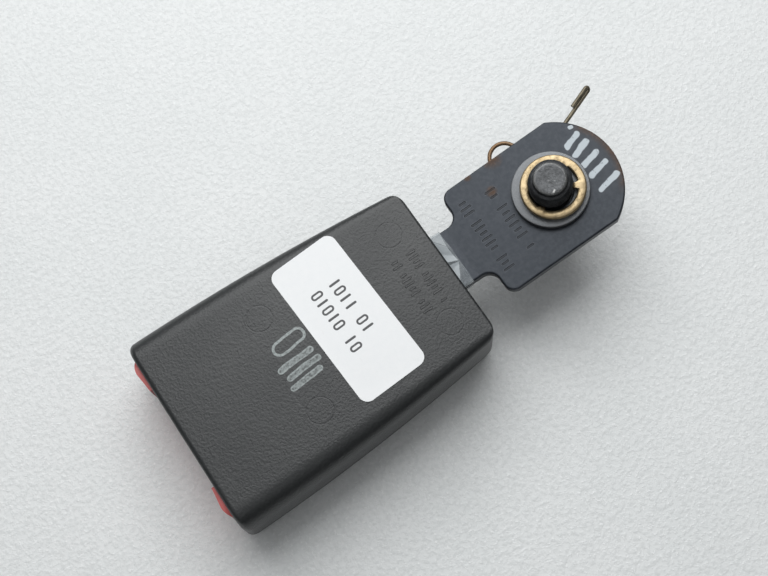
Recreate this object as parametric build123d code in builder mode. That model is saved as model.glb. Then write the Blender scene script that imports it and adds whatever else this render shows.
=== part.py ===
from build123d import *
from math import acos, atan2, cos, pi, radians, sin, sqrt
import os

os.makedirs("parts", exist_ok=True)

# Seat belt buckle, millimetres. +X runs from the anchor bolt to the push button, +Y across,
# +Z out of the housing's back face. The origin is on the bolt's axis, in the anchor plate's top face.

# ---- driving dimensions -------------------------------------------------------------------
TILT = 6.8              # degrees that the outer anchor plate leans against the housing
PLATE_T = 3.0           # anchor plate sheet
PLATE_HALF = 15.9       # half width of the plate round the bolt
PLATE_END_R = 18.0      # radius of the plate's far end
PLATE_END_X = -0.8      # centre of that arc
SHOULDER_X = 23.5       # end of the plate's wide part
SHOULDER_R = 2.9        # its outer corners
NECK_HALF = 7.7         # half width of the neck
NECK_R = 3.2            # fillet between shoulder and neck
RIM_R = 0.5             # rounding of the punched rim, on the die's side
BEND_X = 27.5           # where the plate bends level with the housing
LAP_HALF = 12.0         # half width of the plate inside the housing
LAP_X0 = 38.5
LAP_X1 = 56.0
LAP_SPARE = 5.0
BEND_R = 6.0            # inside radius of the plate's bend

THREAD_R = 5.555        # 7/16-20 UNF
THREAD_PITCH = 1.27
SHANK_R = 6.45          # unthreaded shoulder in the plate's hole
HOLE_FIT = 0.05         # running clearance of the shoulder in the plate
DOG_R = 4.25            # dog point
DOG_TOP = 11.3
DOG_EDGE = 0.5
THREAD_TOP = 9.6
RELIEF_R = 5.3          # relief below the thread, where the retaining ring grips
RELIEF_TOP = 4.5
WASHER_R = 10.0
WASHER_T = 1.7
WASHER_EDGE = 0.3
RING_R = 8.4
RING_BORE = 6.2
RING_T = 1.3
RING_EDGE = 0.4
RING_TABS = 6
RING_TURN = 28.0        # where the first tab stands
RING_TAB_L = 2.0        # tabs reach in from the ring to the relief
RING_TAB_W = 1.6
RING_PLAY = (-0.54, 0.36)   # the loose ring hangs to one side of the bolt
FLANGE_R = 9.6
FLANGE_T = 2.0
HEX_AF = 17.0
HEX_T = 6.6
WIRE_D = 1.1
WIRE_COIL_R = 8.0       # centre line of the wire's turn round the shoulder

REAR_X = 32.0           # housing, rear edge of the back face
FRONT_X = 110.8         # front edge of the back face
BACK_Z = -0.5           # back face
PART_Z = -13.5          # parting line of the two covers
FLOOR_Z = -26.0         # face of the front cover
WALL = 2.0
REAR_HALF = 23.05       # half width at the rear
SWELL_1 = 10.5          # growth of the half width to the front, linear share
SWELL_2 = 5.14          # and its falling share
FLAT_HALF = 22.0        # half width of the flat back face
ROUND_REAR = 1.6        # depth of the shoulder beside the flat face, at the rear
ROUND_GROW = 5.9        # how much deeper it is at the front
DRAFT = 0.35            # side lean above the parting line
LOW_DRAFT = 1.3         # side lean below it
LOW_ROUND = 3.2         # lower edge rounding
REAR_CORNER = 3.6
FRONT_CORNER = 2.2
SEAT = 0.3              # gap between parts that sit on each other
TOUCH = 0.05            # gap between parts that are pressed or glued together
REACH = 80.0            # longer than any cut needs
OVERRUN = 1.0           # how far a form runs past the face that trims it
PICK = 0.1              # tolerance for picking corners

FRAME_T = 2.2           # channel sheet
FOLD_IN = 0.6           # inside radius of the channel's folds
FRAME_X0 = 38.5
FRAME_X1 = 95.5
SIDE_X0 = 57.0
SIDE_X1 = 90.8
SIDE_Z = -23.5
TONGUE_T = 2.7          # room for the tongue's blade
SIDE_FIT = 0.4          # clearance between the works and the channel's sides

BUTTON_TRAVEL = 5.5
EJECTOR_TRAVEL = 12.0
LATCH_ANGLE = 10.0
PIVOT = (62.0, -15.4)   # latch axle, x and z
AXLE_R = 2.5
AXLE_FIT = 0.05
HUB_R = 3.0
LEVER_HALF = 5.2
LOCK_R = 1.75
LOCK_X = 80.0
LOCK_Z = -20.1

SLOT_HALF = 11.5        # tongue slot
GUIDE_SIDE = 2.6        # nylon beside the slot
SLOT_H = 4.4
GUIDE_X0 = 96.0
GUIDE_X1 = 110.2
GUIDE_WALL = 1.8
GUIDE_R = 1.2           # its outer edges
MOUTH_FLARE = 1.0       # chamfer round the slot
DISH_R = 155.0          # dished front of the button
BUTTON_MID_X = 110.85
BUTTON_X0 = 97.0
BUTTON_SLIP = 0.4
BUTTON_SPARE = 6.2
EAR_R = 5.0             # corners of the button's ears

LABEL_L = 41.3
LABEL_W = 19.3
LABEL_AT = (60.85, -1.85)
LABEL_TURN = 2.9
LABEL_T = 0.12
LABEL_CORNER = 2.5

SEAM = 0.25             # open seam between the covers
NECK_ROOM = 0.75        # opening round the neck
PIN_MARKS = ((40.3, -13.7), (40.3, 13.7), (79.2, -14.0), (79.2, 14.0))
PIN_MARK_R = 3.4
PIN_MARK_DEPTH = 0.12
CLIP_X = (50.0, 76.0)   # clips that hold the covers together
CLIP_L = 8.0
CLIP_T = 1.3
CLIP_H = 3.2
CLIP_GAP = 0.9
RIB_T = 1.5
RIB_X = (44.0, 52.0)    # ribs under the plate's lap
RIB_W = 30.0
RIB_H = 9.0
RAIL_END = 3.0          # rails that hold the channel's sides
RAIL_GAP = 1.8
RAIL_H = 5.0
ROOT = 0.2              # how deep a rib's foot is sunk in the wall
STOP_W = 7.4            # walls behind the button's springs
STOP_H = 10.0
POST_H = 2.6            # post inside the latch spring
PLAN_SPARE = 9.0
SKIN = 0.02             # glue line or paint

RIVET_X = 47.0
RIVET_Y = 7.3
RIVET_R = 2.5
RIVET_HEAD_R = 3.9
RIVET_FIT = 0.03
RIVET_EDGE = 0.1
RIVET_CONE = 1.2
RIVET_BUTT = 1.3        # height of the closed head
WINDOW_X = 85.9         # frame's window for the tooth
WINDOW_L = 12.2
WINDOW_GAP = 1.0
SEAT_X = 46.5           # rear seat of the ejector's spring
SEAT_PEG_R = 1.2
SEAT_BLOCK = (3.0, 4.8, 3.6)
PEG_FIT = 0.1
PEG_R = 0.9             # pegs that centre the ejector's spring
PEG_L = (3.0, 2.5)
LEVER_ARM = ((0, 0.4), (27.5, 0.4), (29.5, 2.0), (29.3, 3.0), (25.6, 7.5), (21.3, 7.5), (21.3, 3.0), (0, 3.0))
LEVER_LUG = ((13.0, 0.6), (13.0, -0.1), (18.9, -2.8), (21.5, -2.8), (21.5, 0.6))
CLIP_STAND = 0.2        # gap between the channel's side and the axle's clip
ECLIP_T = 0.9
ECLIP_R = 4.2
ECLIP_MOUTH = 1.6       # how much narrower the clip's mouth is than the axle
GROOVE = 0.5
AXLE_OUT = 0.6          # axle beyond the clip
SLIDE_X0 = 72.0
SLIDE_X1 = 95.2
SLIDE_LOW = -23.4
SLIDE_TOP = -17.6
BRIDGE_T = 2.6
BRIDGE_L = 3.7
SLIDE_GAP = 0.8         # clearance of the slide beside the lever
PIN_OUT = 0.8           # how far the lock pin stands out of the channel
PIN_EDGE = 0.3

EJECT_X0 = 70.0
EJECT_X1 = 94.5
EJECT_BAR = 5.0
EJECT_BOSS = (8.0, 3.2)
FORK_GAP = 1.2
FORK_R = 0.9
ESPRING_R = 1.3
ESPRING_WIRE = 0.5
ESPRING_Z = -10.35
ESPRING_TURNS = 15
BSPRING_R = 2.6
BSPRING_WIRE = 0.6
BSPRING_Z = -18.3
BSPRING_TURNS = 9
STOP_X = 84.0
LSPRING_R = 2.2
LSPRING_WIRE = 0.5
LSPRING_X = 69.5
LSPRING_TURNS = 7

SLIP = 0.4              # side clearance of the button
BUTTON_HALF = 25.0
BUTTON_LOW = -23.4
BUTTON_TOP = -2.9
BUTTON_WALL = 1.9
BUTTON_HOLLOW = 10.0
BUTTON_HOLLOW_W = 31.6
PUSH_L = 1.5
PUSH_T = 2.2
PUSH_W = 16.0
PAD_X = 68.0
PAD_L = 22.0
PAD_W = 18.0
FILM_X0 = 29.0
FILM_L = 8.0
FILM_GAP = 0.15
FILM_T = 0.2

HEAD_TOP = -6.5         # bearing face of the bolt's head
SHANK_TOP = 0.1
RING_Z = 2.9
WIRE_Z = -5.45          # wire's centre line where its turn begins
WIRE_CLIMB = 1.25       # and how much it climbs in the turn
LEG_TIP = (-24.5, -17.8)
LOOP_START = (0.45, -17.2)
LOOP_R = 3.8
LOOP_TURN = 152.0
TAIL_L = 3.0
FOLD_R = 0.58
FOLD_LEAN = 50.0        # degrees that the fold stands up from the plate
FOLD_L = 6.0

# ---- derived ------------------------------------------------------------------------------
SN = sin(radians(TILT))
CS = cos(radians(TILT))
BOLT = Plane(origin=(0, 0, 0), x_dir=(CS, 0, -SN), z_dir=(SN, 0, CS))
NECK_TOP = -BEND_X * SN
FRAME_TOP = NECK_TOP - PLATE_T
TONGUE_TOP = FRAME_TOP - FRAME_T
TONGUE_LOW = TONGUE_TOP - TONGUE_T
LENGTH = FRONT_X - REAR_X
INNER_BACK = BACK_Z - WALL
INNER_FLOOR = FLOOR_Z + WALL
GUIDE_HALF = SLOT_HALF + GUIDE_SIDE
FRAME_HALF = GUIDE_HALF
SIDE_Y = FRAME_HALF - FRAME_T
CLIP_Y = FRAME_HALF + CLIP_STAND
AXLE_END = CLIP_Y + ECLIP_T + AXLE_OUT
BSPRING_Y = FRAME_HALF + RAIL_GAP + RIB_T + SEAT + BSPRING_R + BSPRING_WIRE / 2
SLOT_Z = (TONGUE_TOP + TONGUE_LOW) / 2
GUIDE_LOW = SLOT_Z - SLOT_H / 2 - GUIDE_WALL
GUIDE_TOP = INNER_BACK - SEAT
PUSH_Z = SLIDE_LOW + 0.2


def half_width(x):
    """Half width of the housing at its parting line."""
    u = (x - REAR_X) / LENGTH
    return REAR_HALF + SWELL_1 * u - SWELL_2 * u * u


def section(x, inset):
    """Outline of the housing across X, smaller by inset all round."""
    u = (x - REAR_X) / LENGTH
    w = half_width(x) - inset
    top = BACK_Z - inset
    low = FLOOR_Z + inset
    flat = FLAT_HALF - inset
    turn = top - ROUND_REAR - ROUND_GROW * u
    wall_y = w - DRAFT
    foot_y = w - LOW_DRAFT
    r = LOW_ROUND
    points = [(wall_y, turn), (w, PART_Z), (foot_y, low + r)]
    Line((-flat, top), (flat, top))
    Bezier((flat, top), (wall_y, top), (wall_y, turn))
    Polyline(*points)
    Bezier((foot_y, low + r), (foot_y, low), (foot_y - r, low))
    Line((foot_y - r, low), (r - foot_y, low))
    Bezier((r - foot_y, low), (-foot_y, low), (-foot_y, low + r))
    Polyline(*[(-y, z) for y, z in reversed(points)])
    Bezier((-wall_y, turn), (-wall_y, top), (-flat, top))


def plan(x0, x1):
    """Plan outline that rounds the housing's four corners."""
    rear = REAR_CORNER
    front = FRONT_CORNER
    y0 = half_width(REAR_X)
    y1 = half_width(FRONT_X)
    mid = (x0 + LENGTH / 2, y1 + PLAN_SPARE)
    for side in (1, -1):
        Line((x0, 0), (x0, side * (y0 - rear)))
        JernArc((x0, side * (y0 - rear)), (0, side), rear, -side * 90)
        Polyline((x0 + rear, side * y0), (mid[0], side * mid[1]), (x1 - front, side * y1))
        JernArc((x1 - front, side * y1), (1, 0), front, -side * 90)
        Line((x1, side * (y1 - front)), (x1, 0))


STATIONS = 3

# ---- housing forms ------------------------------------------------------------------------
with BuildPart() as outer_form:
    for i in range(STATIONS):
        at = REAR_X - OVERRUN + i * (LENGTH + 2 * OVERRUN) / (STATIONS - 1)
        with BuildSketch(Plane.YZ.offset(at)):
            with BuildLine():
                section(at, 0)
            make_face()
    loft()
    with BuildSketch(Plane.XY.offset(FLOOR_Z)):
        with BuildLine():
            plan(REAR_X, FRONT_X)
        make_face()
    extrude(amount=REACH, mode=Mode.INTERSECT)

with BuildPart() as inner_form:
    for i in range(STATIONS):
        at = REAR_X + WALL + i * (LENGTH + 5 * OVERRUN) / (STATIONS - 1)
        with BuildSketch(Plane.YZ.offset(at)):
            with BuildLine():
                section(at, WALL)
            make_face()
    loft()

with BuildPart() as button_form:
    for i in range(STATIONS):
        at = REAR_X + WALL + i * (LENGTH + 5 * OVERRUN) / (STATIONS - 1)
        with BuildSketch(Plane.YZ.offset(at)):
            with BuildLine():
                section(at, WALL + BUTTON_SLIP)
            make_face()
    loft()

# ---- back cover: black ABS shell with the flat face -----------------------------------------
with BuildPart() as back_cover:
    add(outer_form.part)
    add(inner_form.part, mode=Mode.SUBTRACT)
    with Locations((REAR_X + LENGTH / 2, 0, PART_Z + (SEAM + REACH) / 2)):
        Box(2 * LENGTH, REACH, REACH, mode=Mode.INTERSECT)
    with Locations((REAR_X, 0, NECK_TOP + NECK_ROOM)):
        Box(4 * WALL, 2 * (NECK_HALF + NECK_ROOM), 2 * NECK_ROOM + PLATE_T,
            align=(Align.CENTER, Align.CENTER, Align.MAX), mode=Mode.SUBTRACT)
    with BuildSketch(Plane.XY.offset(BACK_Z)):
        with Locations(*PIN_MARKS):
            Circle(PIN_MARK_R)
    extrude(amount=-PIN_MARK_DEPTH, mode=Mode.SUBTRACT)
    for x in CLIP_X:
        y = half_width(x) - WALL - DRAFT
        for side in (1, -1):
            with Locations((x, side * (y - CLIP_GAP - CLIP_T / 2), PART_Z)):
                Box(CLIP_L, CLIP_T, 2 * CLIP_H)
            with Locations((x, side * (y - CLIP_T / 2), PART_Z + CLIP_H * 0.75)):
                Box(CLIP_L, CLIP_T + 2 * CLIP_GAP + 2 * SEAT, CLIP_H / 2)

# ---- front cover: deeper ABS shell, with ribs that hold the works ---------------------------
with BuildPart() as front_cover:
    add(outer_form.part)
    add(inner_form.part, mode=Mode.SUBTRACT)
    with Locations((REAR_X + LENGTH / 2, 0, PART_Z - (SEAM + REACH) / 2)):
        Box(2 * LENGTH, REACH, REACH, mode=Mode.INTERSECT)
    rail_l = SIDE_X1 - SIDE_X0 - 2 * RAIL_END
    for side in (1, -1):
        rail_y = side * (FRAME_HALF + RAIL_GAP + RIB_T / 2)
        with Locations(((SIDE_X0 + SIDE_X1) / 2, rail_y, INNER_FLOOR - ROOT)):
            Box(rail_l, RIB_T, RAIL_H, align=(Align.CENTER, Align.CENTER, Align.MIN))
        with Locations((STOP_X, side * BSPRING_Y, INNER_FLOOR - ROOT)):
            Box(RIB_T, STOP_W, STOP_H, align=(Align.MAX, Align.CENTER, Align.MIN))
    with Locations((LSPRING_X, 0, INNER_FLOOR - ROOT)):
        Cylinder(LSPRING_R - LSPRING_WIRE / 2 - SEAT, POST_H, align=(Align.CENTER, Align.CENTER, Align.MIN))
    for x in RIB_X:
        with Locations((x, 0, INNER_FLOOR - ROOT)):
            Box(RIB_T, RIB_W, RIB_H, align=(Align.CENTER, Align.CENTER, Align.MIN))

# ---- push button: red ABS, hollow from behind, with an ear each side of the tongue guide ----
with BuildPart() as push_button:
    with BuildSketch(Plane.XY.offset(BUTTON_LOW)):
        with Locations((BUTTON_X0, 0)):
            Rectangle(FRONT_X - BUTTON_X0 + BUTTON_SPARE, 2 * BUTTON_HALF, align=(Align.MIN, Align.CENTER))
        with Locations((BUTTON_MID_X + DISH_R, 0)):
            Circle(DISH_R, mode=Mode.SUBTRACT)
        fillet(vertices().group_by(Axis.X)[-1], EAR_R)
    extrude(amount=BUTTON_TOP - BUTTON_LOW)
    with BuildSketch(Plane.YZ.offset(BUTTON_X0)):
        with Locations((0, GUIDE_LOW - SLIP)):
            Rectangle(2 * (GUIDE_HALF + SLIP), REACH, align=(Align.CENTER, Align.MIN))
    extrude(amount=REACH, mode=Mode.SUBTRACT)
    add(button_form.part, mode=Mode.INTERSECT)
    body_h = GUIDE_LOW - SLIP - BUTTON_LOW
    with Locations((BUTTON_X0, 0, BUTTON_LOW + body_h / 2)):
        Box(2 * BUTTON_HOLLOW, BUTTON_HOLLOW_W, body_h - 2 * BUTTON_WALL, mode=Mode.SUBTRACT)
    with Locations((BUTTON_X0 - PUSH_L, 0, PUSH_Z)):
        Box(PUSH_L + BUTTON_HOLLOW + ROOT, PUSH_W, PUSH_T, align=(Align.MIN, Align.CENTER, Align.MIN))

# ---- return springs of the button -----------------------------------------------------------
with BuildPart() as button_springs:
    for side in (1, -1):
        turns_l = BUTTON_X0 - STOP_X - 2 * SEAT - BSPRING_WIRE
        with BuildLine():
            coil = Helix(turns_l / BSPRING_TURNS, turns_l, BSPRING_R, direction=(1, 0, 0),
                         center=(STOP_X + SEAT + BSPRING_WIRE / 2, side * BSPRING_Y, BSPRING_Z))
        with BuildSketch(Plane(origin=coil @ 0, z_dir=coil % 0)):
            Circle(BSPRING_WIRE / 2)
        sweep(path=coil)

# ---- tongue guide: black nylon mouth of the slot --------------------------------------------
with BuildPart() as tongue_guide:
    with Locations((GUIDE_X0, 0, GUIDE_LOW)):
        Box(GUIDE_X1 - GUIDE_X0, 2 * GUIDE_HALF, GUIDE_TOP - GUIDE_LOW,
            align=(Align.MIN, Align.CENTER, Align.MIN))
    fillet(edges().filter_by(Axis.X), GUIDE_R)
    with Locations((GUIDE_X0, 0, SLOT_Z)):
        Box(REACH, 2 * SLOT_HALF, SLOT_H, mode=Mode.SUBTRACT)
    mouth = faces().sort_by(Axis.X)[-1].inner_wires()[0].edges()
    chamfer(mouth, MOUTH_FLARE)
    fillet(faces().sort_by(Axis.X)[-1].outer_wire().edges(), GUIDE_R / 2)

# ---- base frame: steel channel that carries the latch ---------------------------------------
with BuildPart() as base_frame:
    with BuildSketch(Plane.YZ.offset(FRAME_X0)):
        with Locations((0, FRAME_TOP)):
            Rectangle(2 * FRAME_HALF, FRAME_TOP - SIDE_Z, align=(Align.CENTER, Align.MAX))
        fillet(vertices().group_by(Axis.Y)[-1], FRAME_T + FOLD_IN)
    extrude(amount=FRAME_X1 - FRAME_X0)
    with BuildSketch(Plane.YZ.offset(FRAME_X0)):
        with Locations((0, TONGUE_TOP)):
            Rectangle(2 * SIDE_Y, REACH, align=(Align.CENTER, Align.MAX))
        fillet(vertices().group_by(Axis.Y)[-1], FOLD_IN)
    extrude(amount=FRAME_X1 - FRAME_X0, mode=Mode.SUBTRACT)
    for x0, x1 in ((FRAME_X0, SIDE_X0), (SIDE_X1, FRAME_X1)):
        with Locations(((x0 + x1) / 2, 0, TONGUE_TOP)):
            Box(x1 - x0, REACH, REACH, align=(Align.CENTER, Align.CENTER, Align.MAX), mode=Mode.SUBTRACT)
    with Locations((WINDOW_X, 0, TONGUE_TOP)):
        Box(WINDOW_L, 2 * (LEVER_HALF + WINDOW_GAP), REACH, mode=Mode.SUBTRACT)
    with Locations(*[(RIVET_X, side * RIVET_Y, TONGUE_TOP) for side in (1, -1)]):
        Cylinder(RIVET_R + RIVET_FIT, REACH, mode=Mode.SUBTRACT)
    with Locations((SEAT_X, 0, TONGUE_TOP)):
        Cylinder(SEAT_PEG_R + PEG_FIT, REACH, mode=Mode.SUBTRACT)
    with BuildSketch(Plane.XZ):
        with Locations(PIVOT):
            Circle(AXLE_R + AXLE_FIT)
        with Locations((LOCK_X - BUTTON_TRAVEL / 2, LOCK_Z)):
            Rectangle(BUTTON_TRAVEL + 2 * LOCK_R + 2 * SEAT, 2 * LOCK_R + 2 * AXLE_FIT)
    extrude(amount=REACH, both=True, mode=Mode.SUBTRACT)

# ---- anchor plate: one bent steel strip -----------------------------------------------------
with BuildPart() as anchor_plate:
    far = BEND_X + 2 * PLATE_END_R
    turn = PLATE_T * (1 - CS) / SN
    with BuildSketch(Plane.XZ):
        with BuildLine():
            Polyline(
                ((BEND_X - far) * CS, -(BEND_X - far) * SN),
                (BEND_X * CS, NECK_TOP),
                (LAP_X1, NECK_TOP),
                (LAP_X1, FRAME_TOP),
                (BEND_X * CS - turn, FRAME_TOP),
                ((BEND_X - far) * CS - PLATE_T * SN, -(BEND_X - far) * SN - PLATE_T * CS),
                close=True,
            )
        make_face()
    extrude(amount=PLATE_HALF + OVERRUN, both=True)
    fillet(edges().filter_by(Axis.Y).sort_by_distance((BEND_X * CS, 0, NECK_TOP))[0], BEND_R)
    with BuildSketch(BOLT.offset(-REACH / 2)):
        with Locations((PLATE_END_X, 0)):
            Circle(PLATE_END_R)
            Rectangle(3 * PLATE_END_R, 2 * PLATE_HALF, mode=Mode.INTERSECT)
            Rectangle(SHOULDER_X - PLATE_END_X, 2 * PLATE_HALF, align=(Align.MIN, Align.CENTER))
        fillet(vertices().group_by(Axis.X)[-1], SHOULDER_R)
        with Locations((0, 0)):
            Rectangle(LAP_X1 + LAP_SPARE, 2 * NECK_HALF, align=(Align.MIN, Align.CENTER))
        near = BOLT.from_local_coords((SHOULDER_X, 0, 0)).X
        corners = vertices().filter_by(lambda v: abs(v.X - near) < PLATE_T and abs(abs(v.Y) - NECK_HALF) < PICK)
        fillet(corners, NECK_R)
        with Locations((LAP_X0, 0)):
            Rectangle(LAP_X1 - LAP_X0 + LAP_SPARE, 2 * LAP_HALF, align=(Align.MIN, Align.CENTER))
    extrude(amount=REACH, mode=Mode.INTERSECT)
    with BuildSketch(BOLT.offset(-REACH / 2)):
        Circle(SHANK_R + HOLE_FIT)
    extrude(amount=REACH, mode=Mode.SUBTRACT)
    rim = edges().filter_by(lambda e: BOLT.to_local_coords(e.center()).X < BEND_X + OVERRUN and not e.is_closed)
    rim = rim.filter_by(lambda e: BOLT.to_local_coords(e @ 0.5).Z > -PLATE_T / 3)
    fold = rim.filter_by(Axis.Y).filter_by(lambda e: e.length > NECK_HALF)
    fillet(rim - fold, RIM_R)
    with Locations(*[(RIVET_X, side * RIVET_Y, NECK_TOP) for side in (1, -1)]):
        CounterSinkHole(RIVET_R + RIVET_FIT, RIVET_HEAD_R + RIVET_FIT, depth=3 * PLATE_T)

# ---- two rivets that join the plate to the frame --------------------------------------------
with BuildPart() as frame_rivets:
    sink = RIVET_HEAD_R - RIVET_R
    with BuildSketch(Plane.XZ):
        with BuildLine():
            Polyline(
                (0, NECK_TOP),
                (RIVET_HEAD_R - RIVET_EDGE, NECK_TOP),
                (RIVET_R, NECK_TOP - sink + RIVET_EDGE),
                (RIVET_R, TONGUE_TOP - SKIN),
                (RIVET_HEAD_R, TONGUE_TOP - SKIN),
                (RIVET_HEAD_R - RIVET_CONE, TONGUE_TOP - RIVET_BUTT),
                (0, TONGUE_TOP - RIVET_BUTT - RIVET_EDGE),
                close=True,
            )
        make_face()
    revolve(axis=Axis.Z)
    base = frame_rivets.part
    with Locations(*[(RIVET_X, side * RIVET_Y, 0) for side in (1, -1)]):
        add(base)
    with Locations((0, 0, TONGUE_TOP)):
        Cylinder(RIVET_HEAD_R + OVERRUN, REACH, mode=Mode.SUBTRACT)

# ---- latch lever: hardened steel, hub on the axle, tooth through the frame's window ---------
with BuildPart() as latch_lever:
    with BuildSketch(Plane.XZ):
        with Locations(PIVOT):
            Polygon(*LEVER_ARM, align=None)
            Polygon(*LEVER_LUG, align=None)
            Circle(HUB_R)
    extrude(amount=LEVER_HALF, both=True)
    with BuildSketch(Plane.XZ):
        with Locations(PIVOT):
            Circle(HUB_R)
    extrude(amount=SIDE_Y - SIDE_FIT, both=True)
    with BuildSketch(Plane.XZ):
        with Locations(PIVOT):
            Circle(AXLE_R + AXLE_FIT)
    extrude(amount=REACH, both=True, mode=Mode.SUBTRACT)

# ---- latch axle and the two clips on its ends -----------------------------------------------
with BuildPart() as latch_axle:
    with BuildSketch(Plane.XZ):
        with Locations(PIVOT):
            Circle(AXLE_R)
    extrude(amount=AXLE_END, both=True)
    for side in (1, -1):
        with BuildSketch(Plane.XZ.offset(-side * CLIP_Y)):
            with Locations(PIVOT):
                Circle(AXLE_R + OVERRUN)
                Circle(AXLE_R - GROOVE, mode=Mode.SUBTRACT)
        extrude(amount=-side * ECLIP_T, mode=Mode.SUBTRACT)

with BuildPart() as axle_clips:
    for side in (1, -1):
        with BuildSketch(Plane.XZ.offset(-side * (CLIP_Y + TOUCH))):
            with Locations(PIVOT):
                Circle(ECLIP_R)
                Circle(AXLE_R - GROOVE + TOUCH, mode=Mode.SUBTRACT)
                Rectangle(2 * AXLE_R - ECLIP_MOUTH, 2 * ECLIP_R, align=(Align.CENTER, Align.MAX),
                          mode=Mode.SUBTRACT)
        extrude(amount=-side * (ECLIP_T - 2 * TOUCH))

# ---- latch spring ---------------------------------------------------------------------------
with BuildPart() as latch_spring:
    rise = PIVOT[1] + LEVER_ARM[0][1] - INNER_FLOOR - 2 * SEAT - LSPRING_WIRE
    with BuildLine():
        coil = Helix(rise / LSPRING_TURNS, rise, LSPRING_R,
                     center=(LSPRING_X, 0, INNER_FLOOR + SEAT + LSPRING_WIRE / 2))
    with BuildSketch(Plane(origin=coil @ 0, z_dir=coil % 0)):
        Circle(LSPRING_WIRE / 2)
    sweep(path=coil)

# ---- lock slide and its steel pin, which hold the lever up ----------------------------------
with BuildPart() as lock_slide:
    slide_in = LEVER_HALF + SLIDE_GAP
    slide_out = SIDE_Y - SIDE_FIT
    for side in (1, -1):
        with Locations(((SLIDE_X0 + SLIDE_X1) / 2, side * (slide_in + slide_out) / 2, SLIDE_LOW)):
            Box(SLIDE_X1 - SLIDE_X0, slide_out - slide_in, SLIDE_TOP - SLIDE_LOW,
                align=(Align.CENTER, Align.CENTER, Align.MIN))
    with Locations((SLIDE_X1, 0, SLIDE_LOW)):
        Box(BRIDGE_L, 2 * slide_out, BRIDGE_T, align=(Align.MAX, Align.CENTER, Align.MIN))
    with BuildSketch(Plane.XZ):
        with Locations((LOCK_X, LOCK_Z)):
            Circle(LOCK_R + SKIN)
    extrude(amount=REACH, both=True, mode=Mode.SUBTRACT)

with BuildPart() as lock_pin:
    with BuildSketch(Plane.XZ):
        with Locations((LOCK_X, LOCK_Z)):
            Circle(LOCK_R)
    extrude(amount=FRAME_HALF + PIN_OUT, both=True)
    chamfer(edges().filter_by(GeomType.CIRCLE), PIN_EDGE)

# ---- ejector: forked acetal slide that pushes the tongue out --------------------------------
with BuildPart() as ejector:
    with BuildSketch(Plane.XY.offset(TONGUE_TOP - SEAT)):
        with Locations((EJECT_X0, 0)):
            Rectangle(EJECT_X1 - EJECT_X0, 2 * (SIDE_Y - SEAT), align=(Align.MIN, Align.CENTER))
        with Locations((EJECT_X0 + EJECT_BAR, 0)):
            Rectangle(REACH, 2 * (LEVER_HALF + FORK_GAP), align=(Align.MIN, Align.CENTER), mode=Mode.SUBTRACT)
        fillet(vertices().group_by(Axis.X)[-1], FORK_R)
    extrude(amount=-(TONGUE_T - 2 * SEAT))
    with Locations((EJECT_X0, 0, TONGUE_TOP - SEAT)):
        Box(EJECT_BAR, *EJECT_BOSS, align=(Align.MIN, Align.CENTER, Align.MAX))
    with BuildSketch(Plane.YZ.offset(EJECT_X0)):
        with Locations((0, ESPRING_Z)):
            Circle(PEG_R)
    extrude(amount=-PEG_L[0])

with BuildPart() as spring_seat:
    seat_end = SEAT_X + SEAT_BLOCK[0] / 2
    with Locations((SEAT_X, 0, TONGUE_TOP - TOUCH)):
        Box(*SEAT_BLOCK, align=(Align.CENTER, Align.CENTER, Align.MAX))
        Cylinder(SEAT_PEG_R, FRAME_T, align=(Align.CENTER, Align.CENTER, Align.MIN))
    with BuildSketch(Plane.YZ.offset(seat_end)):
        with Locations((0, ESPRING_Z)):
            Circle(PEG_R)
    extrude(amount=PEG_L[1])

with BuildPart() as ejector_spring:
    span = EJECT_X0 - seat_end - 2 * SEAT - ESPRING_WIRE
    with BuildLine():
        coil = Helix(span / ESPRING_TURNS, span, ESPRING_R, direction=(1, 0, 0),
                     center=(seat_end + SEAT + ESPRING_WIRE / 2, 0, ESPRING_Z))
    with BuildSketch(Plane(origin=coil @ 0, z_dir=coil % 0)):
        Circle(ESPRING_WIRE / 2)
    sweep(path=coil)

# ---- foam pad that keeps the frame quiet against the back cover -----------------------------
with BuildPart() as foam_pad:
    with Locations((PAD_X, 0, FRAME_TOP + TOUCH)):
        Box(PAD_L, PAD_W, INNER_BACK - FRAME_TOP - 2 * TOUCH - SEAT,
            align=(Align.CENTER, Align.CENTER, Align.MIN))

# ---- clear sleeve on the neck, and the label ------------------------------------------------
with BuildPart() as neck_film:
    with Locations((FILM_X0, 0, (NECK_TOP + FRAME_TOP) / 2)):
        Box(FILM_L, 2 * (NECK_HALF + FILM_GAP + FILM_T), PLATE_T + 2 * (FILM_GAP + FILM_T),
            align=(Align.MIN, Align.CENTER, Align.CENTER))
        Box(3 * FILM_L, 2 * (NECK_HALF + FILM_GAP), PLATE_T + 2 * FILM_GAP, mode=Mode.SUBTRACT)

with BuildPart() as label:
    with BuildSketch(Plane.XY.offset(BACK_Z + SKIN)):
        with Locations(Location((LABEL_AT[0], LABEL_AT[1], 0), (0, 0, LABEL_TURN))):
            RectangleRounded(LABEL_W, LABEL_L, LABEL_CORNER)
    extrude(amount=LABEL_T)

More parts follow.
